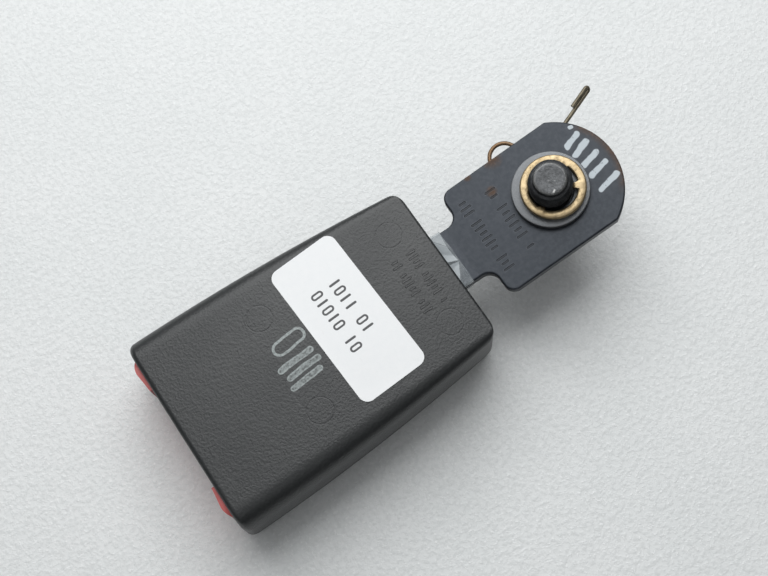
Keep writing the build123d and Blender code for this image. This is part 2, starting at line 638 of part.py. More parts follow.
# ---- anchor bolt, on its own tilted axis ----------------------------------------------------
with BuildPart() as anchor_bolt:
    with BuildSketch(BOLT.offset(HEAD_TOP - FLANGE_T - HEX_T)):
        RegularPolygon(HEX_AF / 2, 6, major_radius=False)
    extrude(amount=HEX_T)
    with BuildSketch(BOLT.offset(HEAD_TOP - FLANGE_T)):
        Circle(FLANGE_R)
    extrude(amount=FLANGE_T)
    with BuildSketch(BOLT.offset(HEAD_TOP)):
        Circle(SHANK_R)
    extrude(amount=SHANK_TOP - HEAD_TOP)
    with BuildSketch(BOLT.offset(SHANK_TOP)):
        Circle(RELIEF_R)
    extrude(amount=RELIEF_TOP - SHANK_TOP)
    with BuildSketch(BOLT.offset(RELIEF_TOP)):
        Circle(THREAD_R)
    extrude(amount=THREAD_TOP - RELIEF_TOP)
    with BuildSketch(BOLT.offset(THREAD_TOP)):
        Circle(DOG_R)
    extrude(amount=DOG_TOP - THREAD_TOP)
    chamfer(faces().sort_by(Axis((0, 0, 0), tuple(BOLT.z_dir)))[-1].edges(), DOG_EDGE)

with BuildPart() as flat_washer:
    with BuildSketch(BOLT.offset(SEAT)):
        Circle(WASHER_R)
        Circle(THREAD_R + SEAT, mode=Mode.SUBTRACT)
    extrude(amount=WASHER_T)
    fillet(edges().sort_by(SortBy.LENGTH).filter_by(GeomType.CIRCLE)[-2:], WASHER_EDGE)

with BuildPart() as retaining_ring:
    with BuildSketch(BOLT.offset(RING_Z)):
        with Locations(RING_PLAY):
            Circle(RING_R)
            Circle(RING_BORE, mode=Mode.SUBTRACT)
            with PolarLocations(RING_BORE + (OVERRUN - RING_TAB_L) / 2, RING_TABS, start_angle=RING_TURN):
                Rectangle(RING_TAB_L + OVERRUN, RING_TAB_W)
        Circle(RELIEF_R, mode=Mode.SUBTRACT)
    extrude(amount=RING_T)
    fillet(edges().filter_by(lambda e: e.length > 2 * pi * RING_BORE), RING_EDGE)

# ---- anti-turn wire: folded tip, straight leg, one turn round the shoulder, open loop --------
with BuildPart() as wire_form:
    leg = Vector(*LEG_TIP)
    loop = Vector(*LOOP_START)
    first = atan2(leg.Y, leg.X) + acos(WIRE_COIL_R / leg.length)
    last = atan2(loop.Y, loop.X) - acos(WIRE_COIL_R / loop.length) + 2 * pi
    wrap = last - first
    rise = 2 * pi * WIRE_CLIMB / wrap
    slope = rise / (2 * pi * WIRE_COIL_R)
    turn = radians(LOOP_TURN)
    entry = Vector(0, 1, slope).normalized()
    leave = Vector(-sin(wrap), cos(wrap), slope).normalized()
    left = Vector(0, 0, 1).cross(leave).normalized()
    tail = leave * cos(turn) + left * sin(turn)
    a0 = Vector(WIRE_COIL_R, 0, 0)
    a1 = Vector(WIRE_COIL_R * cos(wrap), WIRE_COIL_R * sin(wrap), WIRE_CLIMB)
    tip = a0 - entry * sqrt(leg.length ** 2 - WIRE_COIL_R ** 2)
    aside = Vector(1, 0, 0) * cos(radians(FOLD_LEAN)) + Vector(1, 0, 0).cross(entry) * sin(radians(FOLD_LEAN))
    fold = tip + aside * 2 * FOLD_R
    crook = tip + aside * FOLD_R - entry * FOLD_R
    bend = a1 + leave * sqrt(loop.length ** 2 - WIRE_COIL_R ** 2)
    mid = bend + leave * (LOOP_R * sin(turn / 2)) + left * (LOOP_R * (1 - cos(turn / 2)))
    end = bend + leave * (LOOP_R * sin(turn)) + left * (LOOP_R * (1 - cos(turn)))
    with BuildLine():
        start = Line(fold + entry * FOLD_L, fold)
        ThreePointArc(fold, crook, tip)
        Line(tip, a0)
        Helix(rise, WIRE_CLIMB, WIRE_COIL_R)
        Line(a1, bend)
        ThreePointArc(bend, mid, end)
        Line(end, end + tail * TAIL_L)
    with BuildSketch(Plane(origin=start @ 0, z_dir=start % 0)):
        Circle(WIRE_D / 2)
    sweep()

with BuildPart() as anchor_wire:
    outward = BOLT.x_dir * cos(first) + BOLT.y_dir * sin(first)
    with Locations(Plane(BOLT.offset(WIRE_Z).origin, x_dir=outward, z_dir=BOLT.z_dir)):
        add(wire_form.part)

# ---- export ---------------------------------------------------------------------------------
for name, piece in (
    ("back_cover", back_cover),
    ("front_cover", front_cover),
    ("push_button", push_button),
    ("button_springs", button_springs),
    ("tongue_guide", tongue_guide),
    ("base_frame", base_frame),
    ("anchor_plate", anchor_plate),
    ("frame_rivets", frame_rivets),
    ("latch_lever", latch_lever),
    ("latch_axle", latch_axle),
    ("axle_clips", axle_clips),
    ("latch_spring", latch_spring),
    ("lock_slide", lock_slide),
    ("lock_pin", lock_pin),
    ("ejector", ejector),
    ("spring_seat", spring_seat),
    ("ejector_spring", ejector_spring),
    ("foam_pad", foam_pad),
    ("neck_film", neck_film),
    ("label", label),
    ("anchor_bolt", anchor_bolt),
    ("flat_washer", flat_washer),
    ("retaining_ring", retaining_ring),
    ("anchor_wire", anchor_wire),
):
    piece.part.label = name
    export_step(piece.part, "parts/" + name + ".step")
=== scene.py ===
import bmesh
import bpy
import numpy as np
from mathutils import Matrix


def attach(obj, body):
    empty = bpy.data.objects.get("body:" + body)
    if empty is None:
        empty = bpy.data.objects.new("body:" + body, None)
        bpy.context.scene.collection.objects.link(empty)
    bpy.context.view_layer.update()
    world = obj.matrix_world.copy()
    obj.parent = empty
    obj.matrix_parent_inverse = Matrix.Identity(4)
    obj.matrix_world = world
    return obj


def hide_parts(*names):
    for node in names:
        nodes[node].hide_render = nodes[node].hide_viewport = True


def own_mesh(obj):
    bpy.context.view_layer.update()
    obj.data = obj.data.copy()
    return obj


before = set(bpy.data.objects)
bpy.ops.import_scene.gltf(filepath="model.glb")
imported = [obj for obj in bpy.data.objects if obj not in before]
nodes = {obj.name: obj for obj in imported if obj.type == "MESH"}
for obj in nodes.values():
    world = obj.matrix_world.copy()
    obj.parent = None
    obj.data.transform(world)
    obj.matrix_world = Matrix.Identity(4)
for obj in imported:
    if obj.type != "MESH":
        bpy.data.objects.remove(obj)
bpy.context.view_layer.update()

# ------------------------------------------------------------------------------------------
# Housing covers: two injection-moulded black ABS shells with a fine spark-eroded grain, which
# clip together at an open seam. Each is an arch of constant 2 mm wall, closed at the rear.


def new_finish(name, tone, metal, rough):
    """A finish's material, its principled shader and a node adder: add(kind, {socket: value or
    output}, **properties) puts in one shader node and returns its outputs."""
    mat = bpy.data.materials.new(name)
    mat.use_nodes = True
    tree = mat.node_tree
    shader = tree.nodes["Principled BSDF"]
    shader.inputs["Base Color"].default_value = (*tone, 1)
    shader.inputs["Metallic"].default_value = metal
    shader.inputs["Roughness"].default_value = rough

    def add(kind, sockets=None, **props):
        node = tree.nodes.new("ShaderNode" + kind)
        for key, value in props.items():
            setattr(node, key, value)
        for key, value in (sockets or {}).items():
            if isinstance(value, bpy.types.NodeSocket):
                tree.links.new(value, node.inputs[key])
            else:
                node.inputs[key].default_value = value
        return node.outputs

    def link(output, socket):
        tree.links.new(output, shader.inputs[socket])

    return mat, add, link


def ramp(add, value, low, high):
    """0 where the value is low, 1 where it is high, and straight in between. Low may be the larger."""
    return add("MapRange", {"Value": value, "From Min": low, "From Max": high})["Result"]


def speckle(add, where, scale, low, high, detail=4.0, rough=0.55):
    """Noise of so many cells a metre, stretched so that low becomes 0 and high becomes 1."""
    noise = add("TexNoise", {"Vector": where, "Scale": scale, "Detail": detail, "Roughness": rough})
    return ramp(add, noise["Fac"], low, high)


def tint(add, share, first, second):
    """Colour that goes from first to second with share."""
    blend = add("Mix", {"Factor": share}, data_type="RGBA")
    node = blend[0].node
    node.inputs[6].default_value = (*first, 1) if len(first) == 3 else first
    node.inputs[7].default_value = (*second, 1) if len(second) == 3 else second
    return blend[2]


def lay_over(add, share, under, tone):
    """The colour output under, covered by a plain tone where share is 1."""
    blend = add("Mix", {"Factor": share, 6: under}, data_type="RGBA")
    blend[0].node.inputs[7].default_value = (*tone, 1)
    return blend[2]


def calc(add, kind, a, b=0.0, c=0.0, clamp=False):
    """One step of arithmetic on a shader's values."""
    return add("Math", {0: a, 1: b, 2: c}, operation=kind, use_clamp=clamp)["Value"]


def relief(add, height, depth, strength=1.0, over=None):
    """Bump whose height of 1 stands depth metres, laid over another bump if there is one."""
    sockets = {"Height": height, "Strength": strength, "Distance": depth}
    if over is not None:
        sockets["Normal"] = over
    return add("Bump", sockets)["Normal"]


def segment(add, across, along, first, last, half, line=None, soft=0.25):
    """1 inside a round-ended stroke from first to last of that half width, 0 outside, rising
    over the outer soft share of it, or 1 only within line of its outline. The distance to a
    segment is the distance to the nearest of its points: p - a - t (b - a), with t = the share
    of the way along, held between 0 and 1."""
    ax, ay = first
    dx, dy = last[0] - ax, last[1] - ay
    px = calc(add, "SUBTRACT", across, ax)
    py = calc(add, "SUBTRACT", along, ay)
    run = dx * dx + dy * dy
    t = calc(add, "MULTIPLY_ADD", px, dx / run, calc(add, "MULTIPLY", py, dy / run), clamp=True)
    qx = calc(add, "SUBTRACT", px, calc(add, "MULTIPLY", t, dx))
    qy = calc(add, "SUBTRACT", py, calc(add, "MULTIPLY", t, dy))
    square_x, square_y = calc(add, "MULTIPLY", qx, qx), calc(add, "MULTIPLY", qy, qy)
    gap = calc(add, "SQRT", calc(add, "ADD", square_x, square_y))
    if line is not None:
        gap = calc(add, "ABSOLUTE", calc(add, "SUBTRACT", gap, half))
        half = line
    return ramp(add, gap, half, half * (1 - soft))


def any_of(add, shares):
    """The largest of several shares."""
    best = shares[0]
    for share in shares[1:]:
        best = calc(add, "MAXIMUM", best, share)
    return best


def drift(add, where, push, reach):
    """The point moved by a vector times reach."""
    sockets = {0: push, 1: (reach, reach, reach), 2: where}
    return add("VectorMath", sockets, operation="MULTIPLY_ADD")["Vector"]


def stretched(add, where, scale, turn=0.0):
    """The point with each axis scaled, and then turned about Z."""
    return add("Mapping", {"Vector": where, "Scale": scale, "Rotation": (0.0, 0.0, turn)})["Vector"]


def shaken(add, where, scale, reach):
    """The point moved about by noise, as a hand shakes: noise lies within about a sixth of its
    middle, so the point moves by about a sixth of reach each way."""
    noise = add("TexNoise", {"Vector": where, "Scale": scale, "Detail": 2.0})["Color"]
    centred = add("VectorMath", {0: noise, 1: (0.5, 0.5, 0.5)}, operation="SUBTRACT")["Vector"]
    return drift(add, where, centred, reach)


def stamped(add, strokes):
    """From soft strokes, 1 at the middle of each, the share of the groove and of the lip round it."""
    field = any_of(add, strokes)
    groove = ramp(add, field, 0.42, 0.62)
    # the lip round each stroke carries painted light: painted shade at the ABS ticks' feet, a painted
    # highlight on the plate's struck lips
    lip_painted_light = ramp(add, field, 0.1, 0.3)
    return groove, calc(add, "SUBTRACT", lip_painted_light, groove, clamp=True)


def grained_abs(name, marked):
    """Black ABS: leathery cells 0.6 mm wide, paler where handled, with hair scratches. The back
    cover also has the rings of four ejector pins, raised moulder's ticks and worn silver pen marks."""
    mat, add, link = new_finish(name, (0.020, 0.0215, 0.022), 0.0, 0.38)
    where = add("TexCoord")["Object"]
    at = add("SeparateXYZ", {"Vector": where})
    warp = add("TexNoise", {"Vector": where, "Scale": 900.0, "Detail": 2.0})["Color"]
    pulled = drift(add, where, warp, 0.0009)
    leather = {"Vector": pulled, "Scale": 1700.0, "Smoothness": 0.8}
    cells = add("TexVoronoi", leather, feature="SMOOTH_F1")["Distance"]
    fine = add("TexNoise", {"Vector": where, "Scale": 3600.0, "Detail": 3.0})["Fac"]
    grain = calc(add, "MULTIPLY_ADD", fine, 0.5, cells)
    rubbed = speckle(add, where, 38.0, 0.45, 0.75)
    smear = speckle(add, where, 11.0, 0.35, 0.7)
    long_way = stretched(add, where, (40.0, 900.0, 900.0), 0.5)
    hairs = speckle(add, long_way, 1.0, 0.73, 0.77, 2.0)
    cross_way = stretched(add, where, (700.0, 30.0, 700.0), 0.2)
    hairs = calc(add, "MAXIMUM", hairs, speckle(add, cross_way, 1.0, 0.74, 0.78, 2.0))
    tone = tint(add, calc(add, "MULTIPLY", cells, 0.9), (0.016, 0.0175, 0.018), (0.026, 0.028, 0.029))
    tone = lay_over(add, calc(add, "MULTIPLY", rubbed, 0.3), tone, (0.040, 0.041, 0.040))
    tone = lay_over(add, calc(add, "MULTIPLY", hairs, 0.22), tone, (0.09, 0.09, 0.09))
    rough = calc(add, "MULTIPLY_ADD", smear, -0.05, 0.40)
    rough = calc(add, "MULTIPLY_ADD", rubbed, -0.04, rough)
    bump = relief(add, grain, 0.00007, 0.8)
    if marked:
        rings = []
        for x, y in ((0.0403, -0.0137), (0.0403, 0.0137), (0.0792, -0.0140), (0.0792, 0.0140)):
            off = add("VectorMath", {0: where, 1: (x, y, -0.0005)}, operation="DISTANCE")["Value"]
            band = calc(add, "ABSOLUTE", calc(add, "SUBTRACT", off, 0.0034))
            rings.append(ramp(add, band, 0.00026, 0.00005))
        ring = any_of(add, rings)
        bump = relief(add, ring, -0.00005, 0.5, bump)
        tone = lay_over(add, calc(add, "MULTIPLY", ring, 0.22), tone, (0.012, 0.012, 0.013))
        on_face = ramp(add, at["Z"], -0.0012, -0.0009)
        # moulder's ticks: two rows of raised, upright strokes of uneven length, with a painted highlight on
        # their crests and painted shade at their feet
        ticks = []
        for row, x0 in enumerate((0.0384, 0.0432)):
            for k, y0 in enumerate(np.linspace(-0.0068, 0.0080, 12)):
                if (k + 2 * row) % 6 == 4:
                    continue
                tall = 0.0011 - 0.0005 * ((2 * k + row) % 3 == 1)
                ends = (x0 - tall, y0), (x0 + tall, y0)
                ticks.append(segment(add, at["X"], at["Y"], *ends, 0.0005, soft=1.0))
        crest, foot = (calc(add, "MULTIPLY", part, on_face) for part in stamped(add, ticks))
        bump = relief(add, crest, 0.00016, 0.9, bump)
        # painted shade at the ticks' feet, then a painted highlight on their crests
        tone = lay_over(add, calc(add, "MULTIPLY", foot, 0.5), tone, (0.010, 0.010, 0.011))
        tone = lay_over(add, calc(add, "MULTIPLY", crest, 0.35), tone, (0.055, 0.057, 0.058))
        # silver pen: a closed loop and three bars drawn by hand along the housing, thick at their
        # edges where the ink gathered, rubbed off the grain's crests in between
        drawn_at = add("SeparateXYZ", {"Vector": shaken(add, where, 260.0, 0.0007)})
        px, py = drawn_at["X"], drawn_at["Y"]
        bars = []
        rims = [segment(add, px, py, (0.0735, -0.0052), (0.0790, -0.0046), 0.0017, 0.0004)]
        for y0, x0, x1 in ((0.0, 0.0729, 0.0818), (0.0027, 0.0724, 0.0809), (0.0054, 0.0735, 0.0814)):
            ends = (x0, y0 - 0.0003), (x1, y0 + 0.0003)
            bars.append(segment(add, px, py, *ends, 0.00085))
            rims.append(segment(add, px, py, *ends, 0.00066, 0.00022))
        ragged = speckle(add, where, 1500.0, 0.34, 0.56, 3.0)
        fill = calc(add, "MULTIPLY", any_of(add, bars), calc(add, "MULTIPLY_ADD", ragged, 0.55, 0.15))
        rim = calc(add, "MULTIPLY", any_of(add, rims), calc(add, "MULTIPLY_ADD", ragged, 0.45, 0.5))
        pen = calc(add, "MULTIPLY", any_of(add, [fill, rim]), on_face)
        tone = lay_over(add, calc(add, "MULTIPLY", pen, 0.9), tone, (0.35, 0.39, 0.385))
        rough = calc(add, "MULTIPLY_ADD", pen, -0.06, rough)
    link(tone, "Base Color")
    link(rough, "Roughness")
    link(bump, "Normal")
    return mat


def laid_mesh(name, points, faces, material, sharp=None):
    """A mesh object from points in millimetres and its faces, smooth except at edges sharper
    than that many degrees."""
    mesh = bpy.data.meshes.new(name)
    mesh.from_pydata((np.asarray(points, float) * 0.001).tolist(), [], np.asarray(faces).tolist())
    mesh.polygons.foreach_set("use_smooth", np.ones(len(mesh.polygons), bool))
    if sharp is not None:
        mesh.set_sharp_from_angle(angle=np.radians(sharp))
    mesh.materials.append(material)
    mesh.update()
    piece = bpy.data.objects.new(name, mesh)
    bpy.context.scene.collection.objects.link(piece)
    return piece


def round_quads(rows, columns, closed=False, flip=False):
    """Four-cornered faces over rows of points that close on themselves: column j of one row
    joins column j + 1 and the row above it, and closed joins the last row to the first. Flip
    lists the corners the other way round, so that the faces look the other way."""
    i = np.arange(rows if closed else rows - 1)[:, None] * columns
    up = (i + columns) % (rows * columns)
    j = np.arange(columns)[None, :]
    jn = (j + 1) % columns
    corners = [i + j, up + j, up + jn, i + jn] if flip else [i + j, i + jn, up + jn, up + j]
    return np.stack(corners, -1).reshape(-1, 4)


def close_poles(piece, first=0, last=None):
    """Makes one point of those of the mesh's points, first to last, that lie in one place."""
    form = bmesh.new()
    form.from_mesh(piece.data)
    form.verts.ensure_lookup_table()
    bmesh.ops.remove_doubles(form, verts=form.verts[first:last], dist=1e-6)
    form.to_mesh(piece.data)
    form.free()


wall, seam_z, half_seam, rear_x, front_x = 2.0, -13.5, 0.125, 32.0, 110.8
face_top, face_bottom = -0.5, -26.0
# half width: at the rear, its growth to the front, and how far that growth slackens
half_rear, swell, slack = 23.05, 10.5, 5.14
# the back cover's flat face, as half its width, and its shoulder's drop: at the rear, and growth
face_half, face_swell, drop_rear, drop_swell = 20.8, 1.4, 2.4, 5.1
# rounding radii of the rear and of the front end, and the share of them that the inside has
rear_rounds, front_rounds, inside_share = (3.6, 0.9), (2.2, 1.4), 0.35
# the neck's opening in the rear wall: half width, half height, middle
neck_y, neck_z, neck_at = 8.45, 1.98, -4.9
for name, low_side in (("back_cover", False), ("front_cover", True)):
    # the arch across X: share 0 to 1 is one side, 1 to 2 its shoulder, 2 to 3 the flat face,
    # and so back down; along X the rows crowd round both rounded ends
    step = np.concatenate([np.linspace(0, 1, 9)[:-1], np.linspace(1, 2, 15)[:-1], np.linspace(2, 3, 41)[:-1],
                           np.linspace(3, 4, 15)[:-1], np.linspace(4, 5, 9)])
    half = np.minimum(step, 5 - step)
    sign = np.where(step < 2.5, -1.0, 1.0)
    phi = np.radians(np.linspace(0, 90, 9))
    rows = np.concatenate([np.zeros(9), np.linspace(0, 1, 60)[1:-1], np.ones(9)])
    ends = np.concatenate([phi, np.full(58, np.pi / 2), phi[::-1]])
    face_share = np.clip(half - 1, 0, 1)[None, :]
    arches = []
    for inset in (0.0, wall):
        # rounding radius of the ends: corners of the plan on the sides, a small edge on the face
        round_end = np.where(rows[:, None] < 0.5, [rear_rounds], [front_rounds])
        round_end = round_end * (1.0 if inset == 0 else inside_share)
        r_here = round_end[:, :1] * (1 - face_share) + round_end[:, 1:] * face_share
        out = np.where(rows < 0.5, 1.0, -1.0)[:, None]
        end_x = np.where(rows[:, None] <= 0, rear_x, front_x)
        inner = rear_x + r_here + (front_x - rear_x - 2 * r_here) * rows[:, None]
        at_end = (rows[:, None] <= 0) | (rows[:, None] >= 1)
        x = np.where(at_end, end_x + out * r_here * (1 - np.cos(ends))[:, None], inner)
        x = np.maximum.accumulate(x, axis=0)
        u = (x - rear_x) / (front_x - rear_x)
        w = half_rear + swell * u - slack * u * u - inset
        shrink_y = round_end[:, :1] * (1 - np.sin(ends))[:, None]
        shrink_z = round_end[:, 1:] * (1 - np.sin(ends))[:, None]
        if low_side:
            face_z, lean, drop = face_bottom + inset, 1.3, 3.2
            flat = w - lean - drop
            turn_z = face_z + drop
        else:
            face_z, lean = face_top - inset, 0.35
            flat = face_half + face_swell * u - inset
            turn_z = face_z - drop_rear - drop_swell * u
        side = np.clip(half, 0, 1)[None, :]
        across = np.clip((step - 2.5) / 0.5, -1, 1)[None, :]
        wall_y = w - lean
        y_bend = (1 - face_share ** 2) * wall_y + face_share ** 2 * flat
        z_bend = (1 - face_share) ** 2 * turn_z + (1 - (1 - face_share) ** 2) * face_z
        on_side, on_face = half[None, :] <= 1, half[None, :] >= 2
        y = np.where(on_side, w + (wall_y - w) * side, y_bend) * sign[None, :]
        y = np.where(on_face, flat * across, y) * (1 - shrink_y / w)
        z = np.where(on_side, seam_z + (turn_z - seam_z) * side, z_bend)
        z = np.where(on_face, face_z, z) + (shrink_z if low_side else -shrink_z) * face_share
        z = np.minimum(z, seam_z - half_seam) if low_side else np.maximum(z, seam_z + half_seam)
        arches.append(np.stack([x, y, z], -1))
    loops = np.concatenate([arches[0], arches[1][:, ::-1]], axis=1)
    n_row, n_col = loops.shape[:2]
    k = np.arange(n_col // 2 - 1)
    caps = []
    for row0 in (0, (n_row - 1) * n_col):
        cap = np.stack([row0 + k, row0 + k + 1, row0 + n_col - 2 - k, row0 + n_col - 1 - k], -1)
        caps.append(cap if row0 else cap[:, ::-1])
    faces = np.concatenate([round_quads(n_row, n_col)] + caps)
    verts = loops.reshape(-1, 3)
    # rear wall: a closed slab that fills the arch's inner line, flush with its end; the back
    # cover's has the opening for the neck, and the front cover's closes to a point
    edge = arches[1][0]
    outer = np.concatenate([edge, np.linspace(edge[-1], edge[0], 40)[1:-1]])
    if low_side:
        hole = np.zeros_like(outer) + (0.0, 0.0, -19.0)
    else:
        angle = np.arctan2(outer[:, 2] + 5.0, outer[:, 1])
        to_side = neck_y / np.maximum(np.abs(np.cos(angle)), 1e-6)
        to_edge = neck_z / np.maximum(np.abs(np.sin(angle)), 1e-6)
        reach = np.minimum(to_side, to_edge)
        hole = np.stack([outer[:, 0], reach * np.cos(angle), neck_at + reach * np.sin(angle)], -1)
    slab = np.stack([np.column_stack([np.full(len(loop), rear_x + at), loop[:, 1:]])
                     for loop, at in ((outer, 0), (hole, 0), (hole, wall), (outer, wall))])
    m = slab.shape[1]
    wall_quads = round_quads(4, m, closed=True, flip=True) + len(verts)
    shell = laid_mesh("shell_" + name, np.concatenate([verts, slab.reshape(-1, 3)]),
                      np.concatenate([faces, wall_quads]),
                      grained_abs("abs_" + name, not low_side), sharp=50)
    if low_side:
        close_poles(shell, len(verts) + m, len(verts) + 3 * m)
    even = shell.modifiers.new("even_normals", "WEIGHTED_NORMAL")
    even.keep_sharp = True
    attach(shell, "housing")
    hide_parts(name)


# ------------------------------------------------------------------------------------------
# Push button: satin red ABS, moulded hollow from behind. Its dished front is mottled paler and
# darker, with fine pale specks of dust.


def dress(node, mat):
    """Gives a carried-over CAD piece its finish."""
    nodes[node].data.materials.clear()
    nodes[node].data.materials.append(mat)


mat, add, link = new_finish("red_abs", (0.55, 0.1, 0.09), 0.0, 0.42)
where = add("TexCoord")["Object"]
at = add("SeparateXYZ", {"Vector": where})
mottle = speckle(add, where, 120.0, 0.35, 0.7)
dust = speckle(add, where, 700.0, 0.5, 0.72)
tone = tint(add, mottle, (0.50, 0.085, 0.08), (0.58, 0.12, 0.11))
tone = lay_over(add, calc(add, "MULTIPLY", dust, 0.3), tone, (0.60, 0.27, 0.24))
link(tone, "Base Color")
link(calc(add, "MULTIPLY_ADD", dust, 0.15, 0.36), "Roughness")
satin = add("TexNoise", {"Vector": where, "Scale": 2600.0, "Detail": 3.0})["Fac"]
link(relief(add, satin, 0.00003, 0.5), "Normal")
dress("push_button", mat)

# Tongue guide: black glass-filled nylon round the slot, dull, scored by the tongue's blade.
mat, add, link = new_finish("nylon_black", (0.022, 0.022, 0.023), 0.0, 0.55)
where = add("TexCoord")["Object"]
flow = speckle(add, where, 260.0, 0.4, 0.65)
scored = stretched(add, where, (60.0, 1600.0, 1600.0))
score = speckle(add, scored, 1.0, 0.62, 0.7, 2.0)
tone = tint(add, flow, (0.018, 0.018, 0.019), (0.034, 0.034, 0.035))
link(lay_over(add, calc(add, "MULTIPLY", score, 0.5), tone, (0.09, 0.09, 0.09)), "Base Color")
link(calc(add, "MULTIPLY_ADD", flow, 0.15, 0.45), "Roughness")
link(relief(add, score, -0.00004, 0.6), "Normal")
dress("tongue_guide", mat)

# ------------------------------------------------------------------------------------------
# Anchor plate: 3 mm steel strip, punched and bent level with the housing, black phosphated.
# It has rusted along its far end, and carries two rows of struck tally marks and chalky pen ticks.
lean = np.radians(6.8)
along_plate = np.array([np.cos(lean), 0.0, -np.sin(lean)])
along_bolt = np.array([np.sin(lean), 0.0, np.cos(lean)])
mat, add, link = new_finish("phosphated_steel", (0.030, 0.036, 0.045), 0.45, 0.42)
where = add("TexCoord")["Object"]
at = add("SeparateXYZ", {"Vector": where})
px = add("VectorMath", {0: where, 1: tuple(along_plate)}, operation="DOT_PRODUCT")["Value"]
pz = add("VectorMath", {0: where, 1: tuple(along_bolt)}, operation="DOT_PRODUCT")["Value"]
on_top = ramp(add, pz, -0.0009, -0.0003)
cloudy = speckle(add, where, 150.0, 0.35, 0.7)
mottle = speckle(add, where, 900.0, 0.4, 0.65)
tone = tint(add, cloudy, (0.019, 0.024, 0.032), (0.034, 0.040, 0.049))
tone = lay_over(add, calc(add, "MULTIPLY", mottle, 0.18), tone, (0.085, 0.092, 0.105))
# rust: within 2 mm of the far arc, between the bends of its outline, with spots by the wire's
# loop and in one mark
flat_at = add("CombineXYZ", {"X": px, "Y": at["Y"]})["Vector"]
from_arc = add("VectorMath", {0: flat_at, 1: (-0.0008, 0.0, 0.0)}, operation="DISTANCE")["Value"]
rim = ramp(add, from_arc, 0.0158, 0.0178)
aside = calc(add, "ABSOLUTE", at["Y"])
rim = calc(add, "MULTIPLY", rim, ramp(add, aside, 0.0115, 0.0085))
rim = calc(add, "MULTIPLY", rim, ramp(add, px, -0.001, -0.006))
patchy = speckle(add, where, 420.0, 0.32, 0.62, 6.0, 0.65)
spots = []
for x0, y0, size in ((0.0072, -0.0158, 0.0030), (0.0121, -0.0088, 0.0017), (0.0150, -0.0155, 0.0012)):
    off = add("VectorMath", {0: flat_at, 1: (x0, y0, 0.0)}, operation="DISTANCE")["Value"]
    spots.append(ramp(add, off, size, size * 0.3))
rusted = any_of(add, [calc(add, "POWER", rim, 1.6)] + spots)
rust = calc(add, "MULTIPLY", rusted, calc(add, "MULTIPLY_ADD", patchy, 0.75, 0.25))
tone = lay_over(add, calc(add, "MULTIPLY", rust, 0.85), tone, (0.115, 0.062, 0.034))
bright_rust = speckle(add, where, 1300.0, 0.55, 0.7)
bright_share = calc(add, "MULTIPLY", calc(add, "MULTIPLY", rust, bright_rust), 0.6)
tone = lay_over(add, bright_share, tone, (0.24, 0.13, 0.065))
# struck marks: short strokes pressed into the sheet, with painted shade in each groove and a painted
# highlight where the lip catches the light
strokes = []
rows_struck = ((0.0124, -0.0092, 0.0086, 11), (0.0200, -0.0106, 0.0100, 14))
for row, (x0, y_from, y_to, count) in enumerate(rows_struck):
    for k, y0 in enumerate(np.linspace(y_from, y_to, count)):
        if (k * 5 + row * 2) % 7 == 3:
            continue
        tall = 0.0013 - 0.0005 * ((k + row) % 3 == 1)
        strokes.append(segment(add, px, at["Y"], (x0 - tall, y0), (x0 + tall, y0), 0.00055, soft=1.0))
struck_and_shade, lip_painted_light = (calc(add, "MULTIPLY", part, on_top) for part in stamped(add, strokes))
# painted shade in the struck grooves, then a painted highlight on their lips
tone = lay_over(add, calc(add, "MULTIPLY", struck_and_shade, 0.6), tone, (0.016, 0.018, 0.021))
tone = lay_over(add, calc(add, "MULTIPLY", lip_painted_light, 0.35), tone, (0.13, 0.14, 0.155))
# chalky white pen: a few shaky ticks of uneven weight and a dot, near the far end
shaky = shaken(add, where, 260.0, 0.0013)
shaky_x = add("VectorMath", {0: shaky, 1: tuple(along_plate)}, operation="DOT_PRODUCT")["Value"]
shaky_y = add("SeparateXYZ", {"Vector": shaky})["Y"]
ticks = []
for first, last, half in (((-0.0103, -0.0070), (-0.0141, -0.0083), 0.00085),
                          ((-0.0106, -0.0038), (-0.0146, -0.0052), 0.0009),
                          ((-0.0105, -0.0004), (-0.0152, -0.0016), 0.0009),
                          ((-0.0108, 0.0030), (-0.0156, 0.0018), 0.00085),
                          ((-0.0102, 0.0072), (-0.0160, 0.0060), 0.0008),
                          ((-0.0139, -0.0108), (-0.0142, -0.0107), 0.00062)):
    ticks.append(segment(add, shaky_x, shaky_y, first, last, half))
drawn = calc(add, "MULTIPLY", any_of(add, ticks), on_top)
chalk = calc(add, "MULTIPLY", drawn, speckle(add, where, 800.0, 0.22, 0.38))
tone = lay_over(add, calc(add, "MULTIPLY", chalk, 0.92), tone, (0.62, 0.68, 0.72))
dull = any_of(add, [rust, chalk])
link(tone, "Base Color")
link(calc(add, "MULTIPLY_ADD", dull, -0.45, 0.45), "Metallic")
link(calc(add, "MULTIPLY_ADD", dull, 0.35, calc(add, "MULTIPLY_ADD", cloudy, 0.1, 0.36)), "Roughness")
pits = relief(add, calc(add, "MULTIPLY", patchy, rust), 0.00008, 0.7)
sheet_noise = add("TexNoise", {"Vector": where, "Scale": 1900.0, "Detail": 4.0})["Fac"]
sheet_grain = relief(add, sheet_noise, 0.00002, 0.5, pits)
link(relief(add, struck_and_shade, -0.00028, 1.0, sheet_grain), "Normal")
dress("anchor_plate", mat)

# ------------------------------------------------------------------------------------------
# Anchor bolt: forged and rolled steel, black phosphated. A hexagon head with a flange, a plain
# shoulder that the plate swivels on, a relief groove, a rolled 20-per-inch thread and a dog point.


